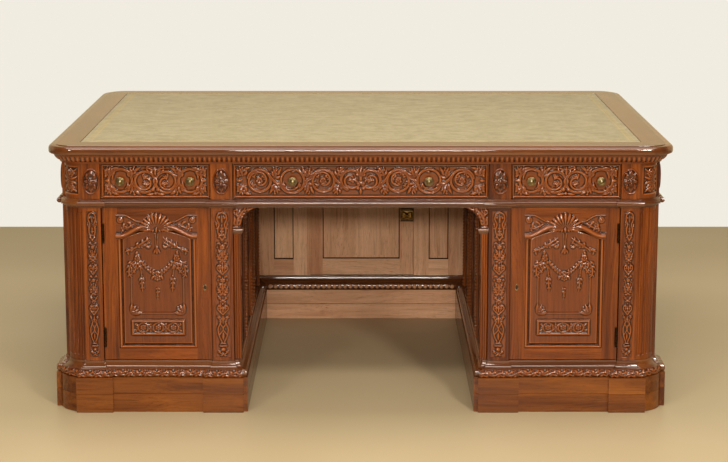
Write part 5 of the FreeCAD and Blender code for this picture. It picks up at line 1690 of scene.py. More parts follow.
@dataclass
class Top(Assembly):
    """Framed top with a moulded edge, and the leather in its bed."""

    half: Point = (915.0, 610.0)
    border: float = 90.0
    corner: float = 78.0
    low: float = 774.0
    rim: float = 797.5
    high: float = 800.0
    step: float = 22.0
    rebate: float = 14.0
    core_gap: float = 0.1
    upper_round: float = 10.0
    lower_round: float = 5.0
    leather_low: float = 798.4
    leather_gap: float = 0.5
    leather_rim: tuple[float, ...] = (0.0, 0.5, 1.2)
    arc_steps: int = 10
    run_step: float = 40.0

    def build(self) -> None:
        """Make the board under the leather, the four boards of the frame and the leather."""
        self.piece(self.core(), "desktop_core", "desk", Finish.TOP, node="desktop")
        for name, end, along in (("front", -1, 0), ("back", 1, 0), ("left", -1, 1), ("right", 1, 1)):
            board = Draft()
            board.tube(self.rings(end, along))
            self.piece(board, "desktop_frame_" + name, "desk", Finish.TOP, along, "desktop", 30)
        self.leather()

    def core(self) -> Draft:
        """Board under the leather.

        Returns:
            Draft of the board.
        """
        x, y = (half - self.border - (self.rebate - self.core_gap) for half in self.half)
        u, v = np.meshgrid(np.linspace(-x, x, 30), np.linspace(-y, y, 20))
        face = np.stack([u, v, np.full_like(u, self.leather_low)], -1)
        draft = Draft()
        draft.sheet(face, face - (0, 0, self.leather_low - self.low))
        return draft

    def section(self) -> Array:
        """Outline of the frame: distance in from the edge and height, from the bed round underneath.

        Returns:
            Points of the outline, one per row.
        """
        def quarter(radius: float, height: float, start: float) -> list[Point]:
            """Points of a quarter circle that turns right and touches the edge."""
            angles = np.radians(np.linspace(start, start - 90, 6))
            return [(radius - radius * math.cos(a), height + radius * math.sin(a)) for a in angles]
        shelf = self.border + self.rebate
        return np.array([
            (shelf, self.low), (shelf, self.leather_low), (self.border, self.leather_low),
            (self.border, self.high - 0.6), (self.border - 0.6, self.high), (self.step + 1.2, self.high),
            (self.step, self.high - 0.8), (self.step - 0.4, self.rim + 0.4), (self.step - 1.6, self.rim),
            *quarter(self.upper_round, self.rim - self.upper_round, 90),
            *quarter(self.lower_round, self.low + self.lower_round, 0)])

    def rings(self, end: int, along: int) -> Array:
        """Rings of points of one board of the frame, mitred at both ends.

        Args:
            end: Side of the top that it lies on, -1 or 1.
            along: Axis that it runs along.

        Returns:
            Points by ring and place in the ring.
        """
        section = self.section()
        inset = section[:, 0]
        run, out = self.half[along], self.half[1 - along]
        angles = np.radians(np.linspace(45, 90, self.arc_steps))
        flat = np.linspace(-(run - self.corner), run - self.corner, int(2 * run / self.run_step))
        radius = np.maximum(self.corner - inset, 0)
        spare = np.maximum(inset - self.corner, 0)
        arcs = {sign: [(sign * (run - self.corner - spare + radius * math.cos(angle)),
                        out - self.corner - spare + radius * math.sin(angle)) for angle in sweep]
                for sign, sweep in ((-1, angles), (1, angles[::-1]))}
        straight = [(np.full_like(inset, place), out - inset) for place in flat[1:-1]]
        points = []
        for place, away in arcs[-1] + straight + arcs[1]:
            pair = (place, end * away) if along == 0 else (end * away, place)
            points.append(np.stack([*pair, section[:, 1]], -1))
        made = np.array(points)
        return made[:, ::-1] if (along == 0) == (end < 0) else made

    def leather(self) -> None:
        """Lay the leather in its bed, faintly uneven and rolled at its rim."""
        x, y = (half - self.border - self.leather_gap for half in self.half)
        rim = np.array(self.leather_rim)
        us = np.concatenate([-x + rim, np.linspace(-x + 6, x - 6, 140), x - rim[::-1]])
        vs = np.concatenate([-y + rim, np.linspace(-y + 6, y - 6, 90), y - rim[::-1]])
        u, v = np.meshgrid(us, vs)
        inset = np.minimum(x - np.abs(u), y - np.abs(v))
        wave = 0.06 * np.sin(u / 71 + 1.3 * np.sin(v / 97)) * np.cos(v / 83)
        height = self.high - 0.15 + wave - 0.8 * np.clip(1 - inset / rim[-1], 0, 1) ** 2
        draft = Draft()
        draft.sheet(np.stack([u, v, height], -1), np.stack([u, v, np.full_like(u, self.leather_low + 0.02)], -1))
        sheet = self.piece(draft, "leather_writing_surface", "desk", Finish.LEATHER, node="writing_leather")


@dataclass
class Frieze(Assembly):
    """Carving between waist and cornice: drawers, fixed boards, corner posts and bosses."""

    field_floor: float = 567.0
    drawer_back: float = 552.0
    end_boards: tuple[tuple[str, float], ...] = (("front", -241.5), ("rear", 241.5))
    drawers: tuple[tuple[str, float], ...] = (("left", -600.0), ("centre", 0.0), ("right", 600.0))
    boss: Point = (25.4, 40.0)
    boss_lift: float = 0.25
    post_low: float = 640.0
    post_height: float = 106.0
    post_border: Point = (13.0, 14.0)
    post_sink: float = 4.0
    post_leaves: Motif = (
        Leaf(((0, 0), (8, 18), (27, 33)), 12.0, 4.6, 4), Lobe(((0, 0), (16, 5), (29, 11)), 4.0, 4.4),
        Berry(((9, 33),), 3.0, 4.2), Lobe(((0, 0), (0, 16), (0, 31)), 4.4, 4.6))
    carving: FriezeCarving = field(default_factory=FriezeCarving)

    def build(self) -> None:
        """Carve every field of the frieze."""
        short, long, end = self.carving.short(), self.carving.long(), self.carving.end()
        for name, x in self.drawers:
            relief = long if name == "centre" else short
            floor = Plane((x, -self.field_floor, FRIEZE_MIDDLE), FRONT)
            self.piece(relief.plate(floor, 0.0, self.field_floor - self.drawer_back), name + "_drawer_carved_front",
                       name + "_drawer", Finish.CARVED, node=name + "_drawer_front")
            self.piece(relief.plate(Plane((x, BODY_FACE[1], FRIEZE_MIDDLE), BACK), 0.3, 0.5),
                       name + "_back_frieze_carving", "desk", Finish.CARVED)
        for name, side, way in SIDES:
            for place, y in self.end_boards:
                self.piece(end.plate(Plane((side * BODY_FACE[0], y, FRIEZE_MIDDLE), way), 0.3, 0.4),
                           f"{name}_end_{place}_frieze_carving", "desk", Finish.CARVED, 1)
        self.bosses()
        self.corner_posts()

    def bosses(self) -> None:
        """Make the oval bosses: a rimmed dish with an eight-petalled flower."""
        relief = Relief((-26.0, -41.0), (26.0, 41.0), 1.0)
        relief.flower((0.0, 0.0), (20.0, 33.0), 8, 5.0)
        relief.flower((0.0, 0.0), (10.0, 14.0), 8, 5.4, 112.5)
        relief.berry((0.0, 0.0), 5.6, 6.4)
        relief.soften()
        around = full_turn(72)
        rings = np.linspace(1, 0, 22)[:, None]
        u = rings * self.boss[0] * np.cos(around)
        v = rings * self.boss[1] * np.sin(around)
        rim = 4.2 * np.clip(1 - ((rings - 0.92) / 0.085) ** 2, 0, 1) ** 0.5
        flower = np.where(rings < 0.86, relief.sample(relief.heights, u, v), 0)
        height = np.maximum(flower, rim) + self.boss_lift
        # painted shade over the sunk dish: its carve value is lowered inside the rim
        depth = np.where(rings < 0.84, relief.sample(relief.depth(), u, v) - 0.45, 0)
        draft = Draft()
        for plane in self.boss_planes():
            foot = plane.at(u[:1], v[:1], -0.4)
            draft.tube(np.concatenate([foot, plane.at(u, v, height)]))
            draft.carve[-1][len(around):len(around) + depth.size] = depth.ravel()
        self.piece(draft, "rosette_bosses", "desk", Finish.CARVED, 2, "rosettes")

    @staticmethod
    def boss_planes() -> list[Plane]:
        """Places of all bosses, on the stiles of the front, the back and the ends.

        Returns:
            Faces that carry the bosses.
        """
        planes = [Plane((side * x, end * PILASTER_FACE[1], FRIEZE_MIDDLE), way)
                  for _, side, _ in SIDES for _, end, way in ENDS for x in (OUTER_PILASTER, INNER_PILASTER)]
        return planes + [Plane((side * PILASTER_FACE[0], y, FRIEZE_MIDDLE), way)
                         for _, side, way in SIDES for _, y in END_PILASTERS]

    def corner_posts(self) -> None:
        """Make the rounded posts with a sunk, carved field."""
        arc = COLUMN_RADIUS * math.pi / 2
        relief = Relief((0.0, 0.0), (arc, self.post_height), 1.2)
        centre = arc / 2, self.post_height / 2
        for turn, flip in CORNERS:
            relief.carve(self.post_leaves, Place(*centre, turn, flip))
        relief.flower(centre, (9.0, 9.0), 6, 5.4)
        u, v = np.meshgrid(relief.u, relief.v)
        inset = np.minimum(np.minimum(u, arc - u) - self.post_border[0],
                           np.minimum(v, self.post_height - v) - self.post_border[1])
        relief.heights = relief.heights - self.post_sink * np.clip((inset + 1.0) / 2.0, 0, 1)
        relief.soften()
        angle = np.pi / 2 * u / arc
        height = self.post_low + v
        radius = COLUMN_RADIUS + np.minimum(relief.heights, 0.6)
        draft = Draft()
        for side, end in CORNERS:
            swing = angle if side * end < 0 else np.pi / 2 - angle
            front = np.stack([side * (COLUMN[0] + radius * np.sin(swing)), end * (COLUMN[1] + radius * np.cos(swing)),
                              height], -1)
            axis = np.stack([np.full_like(u, side * (COLUMN[0] + 0.5)), np.full_like(u, end * (COLUMN[1] + 0.5)),
                             height], -1)
            draft.sheet(front, front * 0.06 + axis * 0.94, relief.depth())
        self.piece(draft, "frieze_corner_carving", "desk", Finish.CARVED, 2, "frieze_corner_posts")


@dataclass
class Doors(Assembly):
    """Carved panels and crests of the two doors and of the two blind doors at the back."""

    middle: float = 599.8
    panel_back: float = 552.0
    panel_face: float = 562.0
    blind_lift: float = 0.5
    carving: DoorCarving = field(default_factory=DoorCarving)

    def build(self) -> None:
        """Carve both doors and the backs that match them."""
        panel, crest = self.carving.panel(), self.carving.crest()
        arch = self.carving.bottom, self.carving.arch(panel.u)
        neck = self.carving.lower(crest.u), self.carving.upper(crest.u)
        for name, side, _ in SIDES:
            for where, end, way in (("door", -1, FRONT), ("back", 1, BACK)):
                opens = where == "door"
                body = name + "_door" if opens else "desk"
                face = self.panel_face + (0.0 if opens else self.blind_lift)
                sheet = Plane((side * self.middle, end * face, 0.0), way)
                self.piece(panel.trimmed(sheet, arch, 0.0, self.panel_face - self.panel_back),
                           f"{name}_{where}_panel_carving", body, Finish.CARVED, 2,
                           name + "_door_panel" if opens else "")
                frame_face = Plane((side * self.middle, end * BODY_FACE[1], 0.0), way)
                self.piece(crest.trimmed(frame_face, neck, 0.3, 0.4),
                           f"{name}_{where}_crest_carving", body, Finish.CARVED, 0,
                           name + "_door_crest" if opens else "")


@dataclass
class Pilasters(Assembly):
    """Carved strips in the sunk fields of the pilasters."""

    sink: float = 3.0
    inner_width: float = 44.0
    outer_width: float = 33.0

    def build(self) -> None:
        """Carve the strips of the front, the back and the ends."""
        inner, outer = StripCarving(self.inner_width).relief(), StripCarving(self.outer_width).relief()
        for name, side, aside in SIDES:
            for where, end, way in ENDS:
                y = end * (PILASTER_FACE[1] - self.sink)
                for place, x, relief in (("inner", INNER_PILASTER, inner), ("outer", OUTER_PILASTER, outer)):
                    self.strip(f"{name}_{where}_{place}_strip", relief, Plane((side * x, y, 0.0), way))
            for place, y in END_PILASTERS:
                plane = Plane((side * (PILASTER_FACE[0] - self.sink), y, 0.0), aside)
                self.strip(f"{name}_end_{place}_strip", outer, plane)

    def strip(self, name: str, relief: Relief, plane: Plane) -> None:
        """Make one strip on the floor of its sunk field."""
        self.piece(relief.plate(plane, 0.25, 0.1), name, "desk", Finish.CARVED, 2, "pilaster_carvings")


@dataclass
class Cornice(Assembly):
    """Moulding under the top with a band of upright flutes."""

    low: float = 746.0
    high: float = 774.0
    foot: float = 4.0
    band_top: Point = (22.0, 771.0)
    swell: float = 3.2
    fillet: float = 25.0
    back: float = -6.0
    pitch: float = 14.2
    dip: float = 4.2
    steps: int = 10
    corner_radius: float = 84.0
    # weight of the painted shade in the flute hollows
    flute_shade_share: float = 1.75

    def section(self) -> tuple[Array, Array]:
        """Section from the foot up: projection and height, and how deep flutes cut at each point.

        Returns:
            Points of the section, and the cut at each.
        """
        share = np.linspace(0, 1, 12)
        start, end = np.array([self.foot, self.low + self.foot]), np.array(self.band_top)
        middle = (start + end) / 2 + (self.swell, -self.swell)
        pull = 2 * middle - (start + end) / 2
        band = np.outer((1 - share) ** 2, start) + np.outer(2 * share * (1 - share), pull) + np.outer(share ** 2, end)
        points = np.vstack([[self.foot, self.low], start, band[1:-1], end, [self.fillet, end[1]],
                            [self.fillet, self.high]])
        cut = np.concatenate([[0, 0], np.minimum(1, 4 * np.minimum(share, 1 - share))[1:-1], [0, 0, 0]])
        return points, cut

    def flutes(self, length: float) -> tuple[Array, Array]:
        """Places along a run and the depth of the flutes there, from 0 on a rib to 1 in a hollow.

        Args:
            length: Length of the run.

        Returns:
            Places from 0 to 1, and the depth at each.
        """
        count = max(1, round(length / self.pitch))
        places = np.linspace(0, 1, count * self.steps + 1)
        wave = np.abs(np.sin(places * count * math.pi))
        return places, 1 - wave ** 1.5

    def build(self) -> None:
        """Make the four runs and four corners."""
        draft = Draft()
        (x, y), (face_x, face_y) = COLUMN, PILASTER_FACE
        for way, length, face in ((FRONT, x, face_y), (BACK, x, face_y), (LEFT_END, y, face_x),
                                  (RIGHT_END, y, face_x)):
            right = np.array(way)
            out = np.cross(right, (0, 0, 1))
            places, depth = self.flutes(2 * length)
            along = (2 * places - 1) * length
            self.run(draft, lambda d: along[None, :, None] * right + (face + d)[..., None] * out, depth)
        radius = face_x - x
        places, depth = self.flutes(self.corner_radius * math.pi / 2)
        for side, end in CORNERS:
            swing = np.pi / 2 * (places if side * end < 0 else 1 - places)
            self.run(draft, lambda d: np.stack([side * (x + (radius + d) * np.sin(swing)),
                                                end * (y + (radius + d) * np.cos(swing)), 0 * d], -1), depth)
        self.piece(draft, "fluted_cornice", "desk", Finish.CARVED, node="cornice_moulding")

    def run(self, draft: Draft, place: Callable[[Array], Array], depth: Array) -> None:
        """Add one stretch.

        Args:
            draft: Draft that takes it.
            place: Gives points of the frame, at height 0, for a grid of projections.
            depth: Depth of the flutes along the stretch.
        """
        points, cut = self.section()
        sunk = cut[:, None] * depth[None, :]
        level = np.zeros(sunk.shape + (3,))
        level[..., 2] = points[:, 1][:, None]
        front = place(points[:, 0][:, None] - self.dip * sunk) + level
        behind = place(np.full(sunk.shape, self.back)) + level
        # carve value low in the flute hollows for painted shade, high on the ribs for a painted highlight
        draft.sheet(front, behind, cut[:, None] * (1.0 - self.flute_shade_share * depth[None, :]))


@dataclass
class BaseCarving(Assembly):
    """Leaves along the torus of both pedestals, which steps forward at each pilaster."""

    low: float = 105.5
    high: float = 128.5
    reach: float = 21.0
    bulge: float = 4.6
    back: float = 4.0
    half_height: float = 11.5
    period: float = 50.0
    waves: int = 12
    pitch: float = 1.5
    rise: float = 5.2
    front_steps: tuple[float, ...] = (835.0, 740.0, 460.0, 354.0)
    end_steps: tuple[float, ...] = (530.0, 436.0, 47.0, -47.0, -436.0, -530.0)
    corner_swing: Point = (17.0, 73.0)
    leaves: Motif = (Leaf(((-9, -3), (1, 5), (12, 9)), 9.0, pairs=2), Lobe(((-3, 2), (-9, 6), (-15, 9)), 4.4),
                     Berry(((3, -9),), 3.0, 4.16))

    def pattern(self) -> Relief:
        """One length of running leaves: a waving stem with a leaf in each bend.

        Returns:
            The carved ground.
        """
        length = self.waves * self.period
        relief = Relief((0.0, -12.0), (length, 12.0), 1.2, self.rise)
        places = np.arange(0, length + 1, 3.0)
        wave = 4.5 * np.sin(places / self.period * 2 * math.pi)
        relief.stem(np.stack([places, wave], -1), 3.0, 3.0, self.rise * 0.8)
        for step in range(2 * self.waves):
            relief.carve(self.leaves, Place((step + 0.5) * self.period / 2, flip=1 if step % 2 else -1))
        relief.soften()
        return relief

    def build(self) -> None:
        """Carve the torus of each pedestal."""
        relief = self.pattern()
        for name, side, _ in SIDES:
            draft = Draft()
            for _, end, _ in ENDS:
                for outer, inner, face in self.stretches(self.front_steps, 1):
                    span = sorted((side * outer, side * inner), reverse=end > 0)
                    self.strip(draft, relief, span, lambda u, r: np.stack([u, end * (face + r), 0 * u], -1))
                swing = np.radians(sorted(self.corner_swing, reverse=side * end > 0))
                self.strip(draft, relief, swing, lambda a, r: np.stack(
                    [side * (COLUMN[0] + (COLUMN_RADIUS + r) * np.sin(a)),
                     end * (COLUMN[1] + (COLUMN_RADIUS + r) * np.cos(a)), 0 * a], -1), COLUMN_RADIUS + self.reach)
            for first, last, face in self.stretches(self.end_steps, 0):
                span = sorted((first, last), reverse=side < 0)
                self.strip(draft, relief, span, lambda v, r: np.stack([side * (face + r), v, 0 * v], -1))
            self.piece(draft, name + "_base_leaf_carving", "desk", Finish.CARVED)

    @staticmethod
    def stretches(steps: Sequence[float], axis: int) -> list[Triple]:
        """Start, end and face of each stretch between steps, by turns on a pilaster and on the body."""
        faces = (PILASTER_FACE[axis], BODY_FACE[axis])
        return [(*pair, faces[count % 2]) for count, pair in enumerate(zip(steps, steps[1:]))]

    def strip(self, draft: Draft, relief: Relief, span: Sequence[float], place: Callable[[Array, Array], Array],
              radius: float = 1.0) -> None:
        """Add the carving of one stretch.

        Args:
            draft: Draft that takes it.
            relief: Pattern of the carving.
            span: Where the stretch starts and ends, from left to right.
            place: Gives points of the frame, at height 0, for places along the stretch and projections.
            radius: Length of one unit of the span.
        """
        length = abs(span[1] - span[0]) * radius
        along = np.linspace(0, 1, int(length / self.pitch) + 1)[None, :]
        up = np.linspace(-1, 1, 15)[:, None]
        u = np.broadcast_to(along * length, (up.size, along.size))
        v = np.broadcast_to(up * self.half_height, u.shape)
        heights = relief.sample(relief.heights, u, v) * np.clip(6 * (1 - np.abs(up)), 0, 1)
        base = self.reach + self.bulge * (1 - up ** 2)
        where = np.broadcast_to(span[0] + along * (span[1] - span[0]), u.shape)
        level = np.zeros(u.shape + (3,))
        level[..., 2] = (self.low + self.high) / 2 + up * (self.high - self.low) / 2
        behind = place(where, np.full(u.shape, self.reach - self.back)) + level
        draft.sheet(place(where, base + heights) + level, behind, relief.sample(relief.depth(4.0, 1.2), u, v))


@dataclass
class KneeholeTrim(Assembly):
    """Pearls, panel mouldings, reeds, capitals, bracket leaves and the lock plate of the kneehole."""

    bead_line: float = 356.6
    bead_places: tuple[float, ...] = (-329.5, -60.7, 60.7, 329.5)
    bead_span: Point = (158.0, 608.0)
    bead_pitch: float = 11.0
    bead_radius: float = 5.0
    ledge_half: float = 323.0
    ledge_places: Point = (459.0, 531.0)
    ledge_height: float = 116.5
    ledge_pitch: float = 19.0
    ledge_radius: float = 7.4
    bracket_foot: Point = (353.0, 550.0)
    bracket_tip: Point = (291.0, 614.0)
    bracket_span: Point = (300.0, 373.5)
    bracket_top: float = 613.0
    strip_face: float = 566.0
    reeds: tuple[float, ...] = (357.0, 364.0, 371.0)
    reed_half: Point = (3.0, 2.2)
    reed_span: Point = (156.0, 534.0)
    capital_place: Point = (361.5, 557.0)
    capital: tuple[Point, ...] = ((534.0, 12.2), (538.0, 13.0), (541.0, 15.6), (547.5, 15.6), (550.2, 13.2))
    panel_plane: float = 484.0
    moulding: tuple[Point, ...] = ((0.2, 5.4), (0.2, 1.0), (1.2, 0.6), (2.6, 2.6), (3.8, 5.4))
    panels: tuple[tuple[Point, Point], ...] = (((-310.0, 210.0), (-240.0, 556.0)), ((240.0, 210.0), (310.0, 556.0)))
    door_panel: tuple[Point, Point] = ((-136.6, 212.0), (137.0, 554.0))
    plinth_faces: Point = (456.0, 534.0)
    seam: Point = (335.0, 54.0)
    seam_half: Point = (0.3, 0.7)
    lock: Triple = (162.0, 470.0, LOCK_HEIGHT)
    lock_bow: Motif = (Lobe(((-2, 0), (-9, 5), (-17, 9)), 5.5, 3.0), Lobe(((-4, 0), (-11, 0), (-18, 0)), 5.0, 2.6))
    bracket_leaves: Motif = (
        Leaf(((364, 554), (362, 574), (354, 592), (342, 606)), 15.0, 5.0, 4),
        Leaf(((346, 604), (334, 606), (322, 609), (306, 611)), 7.0, 4.4),
        Lobe(((368, 556), (371, 568), (370, 580)), 4.0, 4.4))

    def build(self) -> None:
        """Make all trim of the kneehole."""
        door = Draft()
        self.panel_moulding(door, *self.door_panel)
        # the door moulding is in the darker copy: painted shade round the panel
        self.piece(door, "kneehole_door_moulding", "kneehole_door", Finish.WALL, 2)
        self.lock_plate()
        # panel mouldings in the darker copy, painted shade round the panels, with the dark plinth seam
        self.piece(self.frames(), "kneehole_panel_mouldings", "desk", Finish.WALL, 2)
        reeds, capitals = self.strips()
        self.piece(reeds, "kneehole_reeds", "desk", Finish.CASE, 2)
        self.piece(capitals, "kneehole_capitals", "desk", Finish.TOP)
        walls, ledge = self.pearls()
        self.piece(walls, "kneehole_wall_pearls", "desk", Finish.CARVED, 2)
        # ledge pearls in the lighter copy: painted light
        self.piece(ledge, "kneehole_ledge_pearls", "desk", Finish.KNEEHOLE)
        self.piece(self.brackets(), "kneehole_bracket_leaves", "desk", Finish.CARVED)

    def pearls(self) -> tuple[Draft, Draft]:
        """Rows of pearls up the walls, and along the ledge under the back panel.

        Returns:
            Drafts of the pearls on the walls and on the ledge.
        """
        walls, ledge = Draft(), Draft()
        for side in (-1, 1):
            for y in self.bead_places:
                for z in np.arange(*self.bead_span, self.bead_pitch):
                    walls.pearl((side * self.bead_line, y, z), self.bead_radius)
        for x in np.arange(-self.ledge_half, self.ledge_half + 1, self.ledge_pitch):
            for y in self.ledge_places:
                ledge.pearl((x, y, self.ledge_height), self.ledge_radius)
        return walls, ledge

    def frames(self) -> Draft:
        """Mouldings of the fixed panels, and the seam along the plinth under them.

        Returns:
            Draft of both.
        """
        draft = Draft()
        for low, high in self.panels:
            self.panel_moulding(draft, low, high)
        x, z = self.seam
        ring = np.array(SQUARE) * self.seam_half
        for y in self.plinth_faces:
            draft.tube(np.array([[(end * x, y + dy, z + dz) for dy, dz in ring] for end in (-1, 1)]))
        return draft

    def panel_moulding(self, draft: Draft, low: Point, high: Point) -> None:
        """Add the moulding round one panel opening.

        Args:
            draft: Draft that takes it.
            low: Lower left corner of the opening.
            high: Upper right corner of the opening.
        """
        inset, depth = np.array(self.moulding).T
        loops = []
        for right, top in SQUARE:
            x = high[0] - inset if right > 0 else low[0] + inset
            z = high[1] - inset if top > 0 else low[1] + inset
            loops.append(np.stack([x, self.panel_plane + depth, z], -1))
        draft.hoop(np.array(loops))

    def strips(self) -> tuple[Draft, Draft]:
        """Reeds and moulded capitals of the four strips.

        Returns:
            Drafts of the reeds and of the capitals.
        """
        reeds, capitals = Draft(), Draft()
        turn = full_turn(12)
        square = np.array(SQUARE)
        for side, end in CORNERS:
            for x in self.reeds:
                ring = np.stack([side * x + self.reed_half[0] * np.cos(turn),
                                 end * self.strip_face + self.reed_half[1] * np.sin(turn), 0 * turn], -1)
                reeds.tube(np.array([ring + (0, 0, z) for z in self.reed_span]))
            middle = np.array(self.capital_place) * (side, end)
            capitals.tube(np.array([np.concatenate([middle + square * (half, half - 1.0), np.full((4, 1), z)], 1)
                                    for z, half in self.capital]))
        return reeds, capitals

    def lock_plate(self) -> None:
        """Make the bow-shaped plate on the lock of the kneehole door."""
        relief = Relief((-21.0, -15.0), (21.0, 15.0), 0.9)
        for flip in (-1, 1):
            relief.carve(self.lock_bow, Place(flip=flip))
        relief.mirror()
        relief.berry((0.0, 0.0), 6.0, 4.4)
        relief.soften()
        self.piece(relief.plate(Plane(self.lock, FRONT), 0.4, 0.3), "kneehole_lock_plate", "kneehole_door",
                   Finish.LOCK)

    def brackets(self) -> Draft:
        """Leaves that grow from the feet of the four brackets into their corners.

        Returns:
            Draft of all four.
        """
        relief = Relief((290.0, 548.0), (376.0, 615.0), 1.2)
        relief.carve(self.bracket_leaves)
        relief.stem(spiral((366, 600), 8.0, 2.0, 200, 640), 2.4, 1.8, 4.6)
        relief.soften()
        across = np.linspace(*self.bracket_span, 60)[None, :]
        (foot_x, foot_z), (tip_x, tip_z) = self.bracket_foot, self.bracket_tip
        bend = np.clip((across - tip_x) / (foot_x - tip_x), 0, 1)
        low = foot_z + (tip_z - foot_z) * np.sqrt(1 - bend ** 2) + 2.0
        v = low + np.linspace(0, 1, 50)[:, None] * (self.bracket_top - low)
        u = np.broadcast_to(across, v.shape)
        edge = np.clip(1 - (v - low) / 5.0, 0, 1)
        bead = 3.0 * np.sin(np.minimum(edge * 1.3, 1) * math.pi / 2)
        heights = np.maximum(relief.sample(relief.heights, u, v), bead) + 0.3
        right = u, v, heights, relief.sample(relief.depth(), u, v)
        left = -u[:, ::-1], v[:, ::-1], heights[:, ::-1], right[3][:, ::-1]
        draft = Draft()
        for u, v, heights, depth in (left, right):
            for _, end, way in ENDS:
                plane = Plane((0.0, end * self.strip_face, 0.0), way)
                draft.sheet(plane.at(u, v, heights), plane.at(u, v, -0.4), depth)
        return draft


@dataclass
class Fittings(Assembly):
    """Turned knobs, the liners of the keyholes and a dark plate of painted shade in each keyhole."""

    knob_floor: float = 567.0
    knobs: tuple[tuple[str, Point], ...] = (("left", (-702.0, -498.0)), ("centre", (-199.0, 199.0)),
                                            ("right", (498.0, 702.0)))
    outline: tuple[Point, ...] = (
        (-0.3, 8.0), (2.2, 8.2), (3.0, 7.4), (3.4, 5.4), (7.6, 5.0), (9.2, 8.0), (10.4, 12.2), (11.8, 13.4),
        (13.4, 13.4), (14.6, 12.6), (14.9, 11.4), (14.3, 10.8), (14.5, 10.2), (15.6, 9.4), (15.8, 8.2), (15.1, 7.4),
        (15.4, 6.6), (16.8, 5.6), (18.2, 4.0), (19.2, 2.2), (19.6, 0.6))
    patina: tuple[Point, ...] = ((0, -0.6), (9, -0.3), (14.3, -0.9), (14.8, 0.3), (15.1, -0.9), (16, 0.2), (20, 0.7))
    keyhole: float = 460.0
    liner_half: Point = (4.2, 8.2)
    liner_bead: Point = (1.3, 0.9)
    ward_half: Point = (3.6, 7.6)
    ward_span: Point = (-0.5, 0.15)

    def build(self) -> None:
        """Turn the knobs, fit the liners and put a dark plate of painted shade in each keyhole."""
        around = full_turn(36)
        height, radius = np.array(self.outline).T
        depth = np.interp(height, *np.array(self.patina).T)
        for name, places in self.knobs:
            draft = Draft()
            for x in places:
                plane = Plane((x, -self.knob_floor, FRIEZE_MIDDLE), FRONT)
                draft.tube(plane.at(radius[:, None] * np.cos(around), radius[:, None] * np.sin(around),
                                    height[:, None]), depth)
            self.piece(draft, name + "_turned_knobs", name + "_drawer", Finish.KNOB, 1, name + "_drawer_knobs")
        for name, side, _ in SIDES:
            plane = Plane((side * self.keyhole, -BODY_FACE[1], LOCK_HEIGHT), FRONT)
            self.piece(self.liner(plane, around), name + "_keyhole_liner", name + "_door", Finish.KNOB, 1)
            # dark plate inside the liner: painted shade of the keyhole's opening
            hole_shade = Draft()
            hole_shade.tube(np.array([plane.at(self.ward_half[0] * np.cos(around), self.ward_half[1] * np.sin(around), h)
                                for h in self.ward_span]))
            self.piece(hole_shade, name + "_keyhole_ward", name + "_door", Finish.WALL, 1)

    def liner(self, plane: Plane, around: Array) -> Draft:
        """Liner of one keyhole.

        Args:
            plane: Face of the door at the keyhole.
            around: Angles round the hole.

        Returns:
            Draft of the liner.
        """
        turn = full_turn(10)[None, :]
        out = self.liner_bead[0] * np.cos(turn)
        u = (self.liner_half[0] + out) * np.cos(around)[:, None]
        v = (self.liner_half[1] + out) * np.sin(around)[:, None]
        draft = Draft()
        draft.hoop(plane.at(u, v, 0.4 + self.liner_bead[1] * np.sin(turn)))
        return draft


# ---- room ----


@dataclass(frozen=True)
class SoftBox:
    """Lamp with a lit rectangle, in metres and watts."""

    name: str
    place: Triple
    size: Point
    power: float


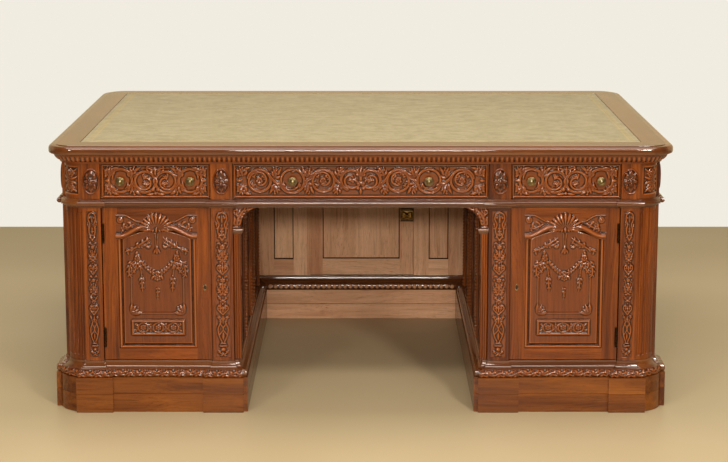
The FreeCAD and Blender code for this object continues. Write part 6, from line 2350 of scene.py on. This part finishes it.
@dataclass
class Studio:
    """Plain room, in metres: floor, background, lamps and the camera at the photograph's angle."""

    floor_half: float = 7.0
    floor_front: float = -9.0
    floor_back: float = 2.0
    floor_colours: tuple[Colour, Colour] = (linear(180, 160, 124), linear(188, 169, 134))
    wall: Colour = linear(241, 236, 224)
    rear_wall: Colour = linear(226, 206, 160)
    ceiling: Colour = (0.1, 0.085, 0.09)
    dark_side: Colour = (0.05, 0.045, 0.04)
    soft_light: Colour = (0.3, 0.285, 0.26)
    lamp_colour: Colour = (1.0, 0.945, 0.84)
    lamp_target: Triple = (0.0, -0.3, 0.45)
    boxes: tuple[SoftBox, ...] = (
        SoftBox("key", (1.8, -4.4, 2.9), (0.5, 0.5), 88.0), SoftBox("fill", (-2.2, -4.6, 2.2), (0.5, 0.5), 36.0),
        SoftBox("strip", (0.0, -2.2, 3.0), (3.6, 0.4), 52.0), SoftBox("over", (0.0, -0.1, 3.2), (3.6, 1.2), 64.0),
        SoftBox("flash", (0.0, -5.7, 1.95), (1.5, 0.3), 106.0))
    camera_place: Triple = (0.007, -5.605, 1.646)
    camera_tilt: float = 80.527
    sensor: float = 36.0
    lens: float = 86.747
    shift: Point = (0.0012, -0.1212)

    def build(self) -> None:
        """Set up the whole room."""
        self.floor()
        self.background()
        self.lamps()
        self.camera()

    def floor(self) -> None:
        """Lay a plain pale floor."""
        mesh = bpy.data.meshes.new("floor")
        x, front, back = self.floor_half, self.floor_front, self.floor_back
        mesh.from_pydata([(-x, front, 0), (x, front, 0), (x, back, 0), (-x, back, 0)], [], [(0, 1, 2, 3)])
        made, sheet, shader = open_material("floor_paint")
        place = sheet.add("ShaderNodeNewGeometry").outputs["Position"]
        cloud = sheet.ramp(sheet.noise(place, 0.8, 3.0), 0.3, 0.7)
        sheet.fill(shader, {"Base Color": sheet.mix(cloud, *self.floor_colours), "Roughness": 0.45})
        mesh.materials.append(made)
        stand("floor", mesh)

    def background(self) -> None:
        """Cream wall for the eye, a room with a dark side for reflections, and soft light for the rest."""
        world = bpy.data.worlds.new("studio")
        bpy.context.scene.world = world
        world.use_nodes = True
        sheet = NodeSheet(world.node_tree)
        path = sheet.add("ShaderNodeLightPath").outputs
        way = sheet.add("ShaderNodeTexCoord").outputs["Generated"]
        split = sheet.add("ShaderNodeSeparateXYZ", {0: way}).outputs
        rear = sheet.mix(sheet.ramp(split[2], 0.35, 0.7), self.rear_wall, self.ceiling)
        room = sheet.mix(sheet.ramp(split[1], -0.25, 0.35), self.dark_side, rear)
        shown = sheet.mix(path["Is Camera Ray"], room, self.wall)
        seen = sheet.math("MAXIMUM", path["Is Camera Ray"], path["Is Glossy Ray"])
        seen = sheet.math("MAXIMUM", seen, path["Is Transmission Ray"])
        colour = sheet.mix(seen, self.soft_light, shown)
        shader = sheet.add("ShaderNodeBackground", {"Color": colour, "Strength": 1.0})
        sheet.add("ShaderNodeOutputWorld", {"Surface": shader.outputs[0]})

    def lamps(self) -> None:
        """Hang the soft boxes and point them at the desk."""
        for box in self.boxes:
            light = bpy.data.lights.new(box.name, "AREA")
            light.shape = "RECTANGLE"
            light.size, light.size_y = box.size
            light.energy = box.power
            light.color = self.lamp_colour
            lamp = stand(box.name, light)
            lamp.location = box.place
            x, y, z = np.array(self.lamp_target) - np.array(box.place)
            lamp.rotation_euler = (math.atan2(math.hypot(x, y), -z), 0.0, math.atan2(-x, y))

    def camera(self) -> None:
        """Put the camera where the photograph was taken from."""
        data = bpy.data.cameras.new("camera")
        data.sensor_width = self.sensor
        data.lens = self.lens
        data.shift_x, data.shift_y = self.shift
        camera = stand("camera", data)
        camera.location = self.camera_place
        camera.rotation_euler = (math.radians(self.camera_tilt), 0.0, 0.0)
        bpy.context.scene.camera = camera
        bpy.context.scene.view_settings.view_transform = "Standard"


def main() -> None:
    """Build the desk's pieces in order, then the room."""
    logging.basicConfig(level=logging.INFO, format="%(name)s: %(message)s")
    palette = Palette()
    for kind in (Top, Cornice, Frieze, Doors, Pilasters, BaseCarving, KneeholeTrim, Fittings, CaseWork):
        kind(palette).build()
    Studio().build()


if __name__ == "__main__":
    main()
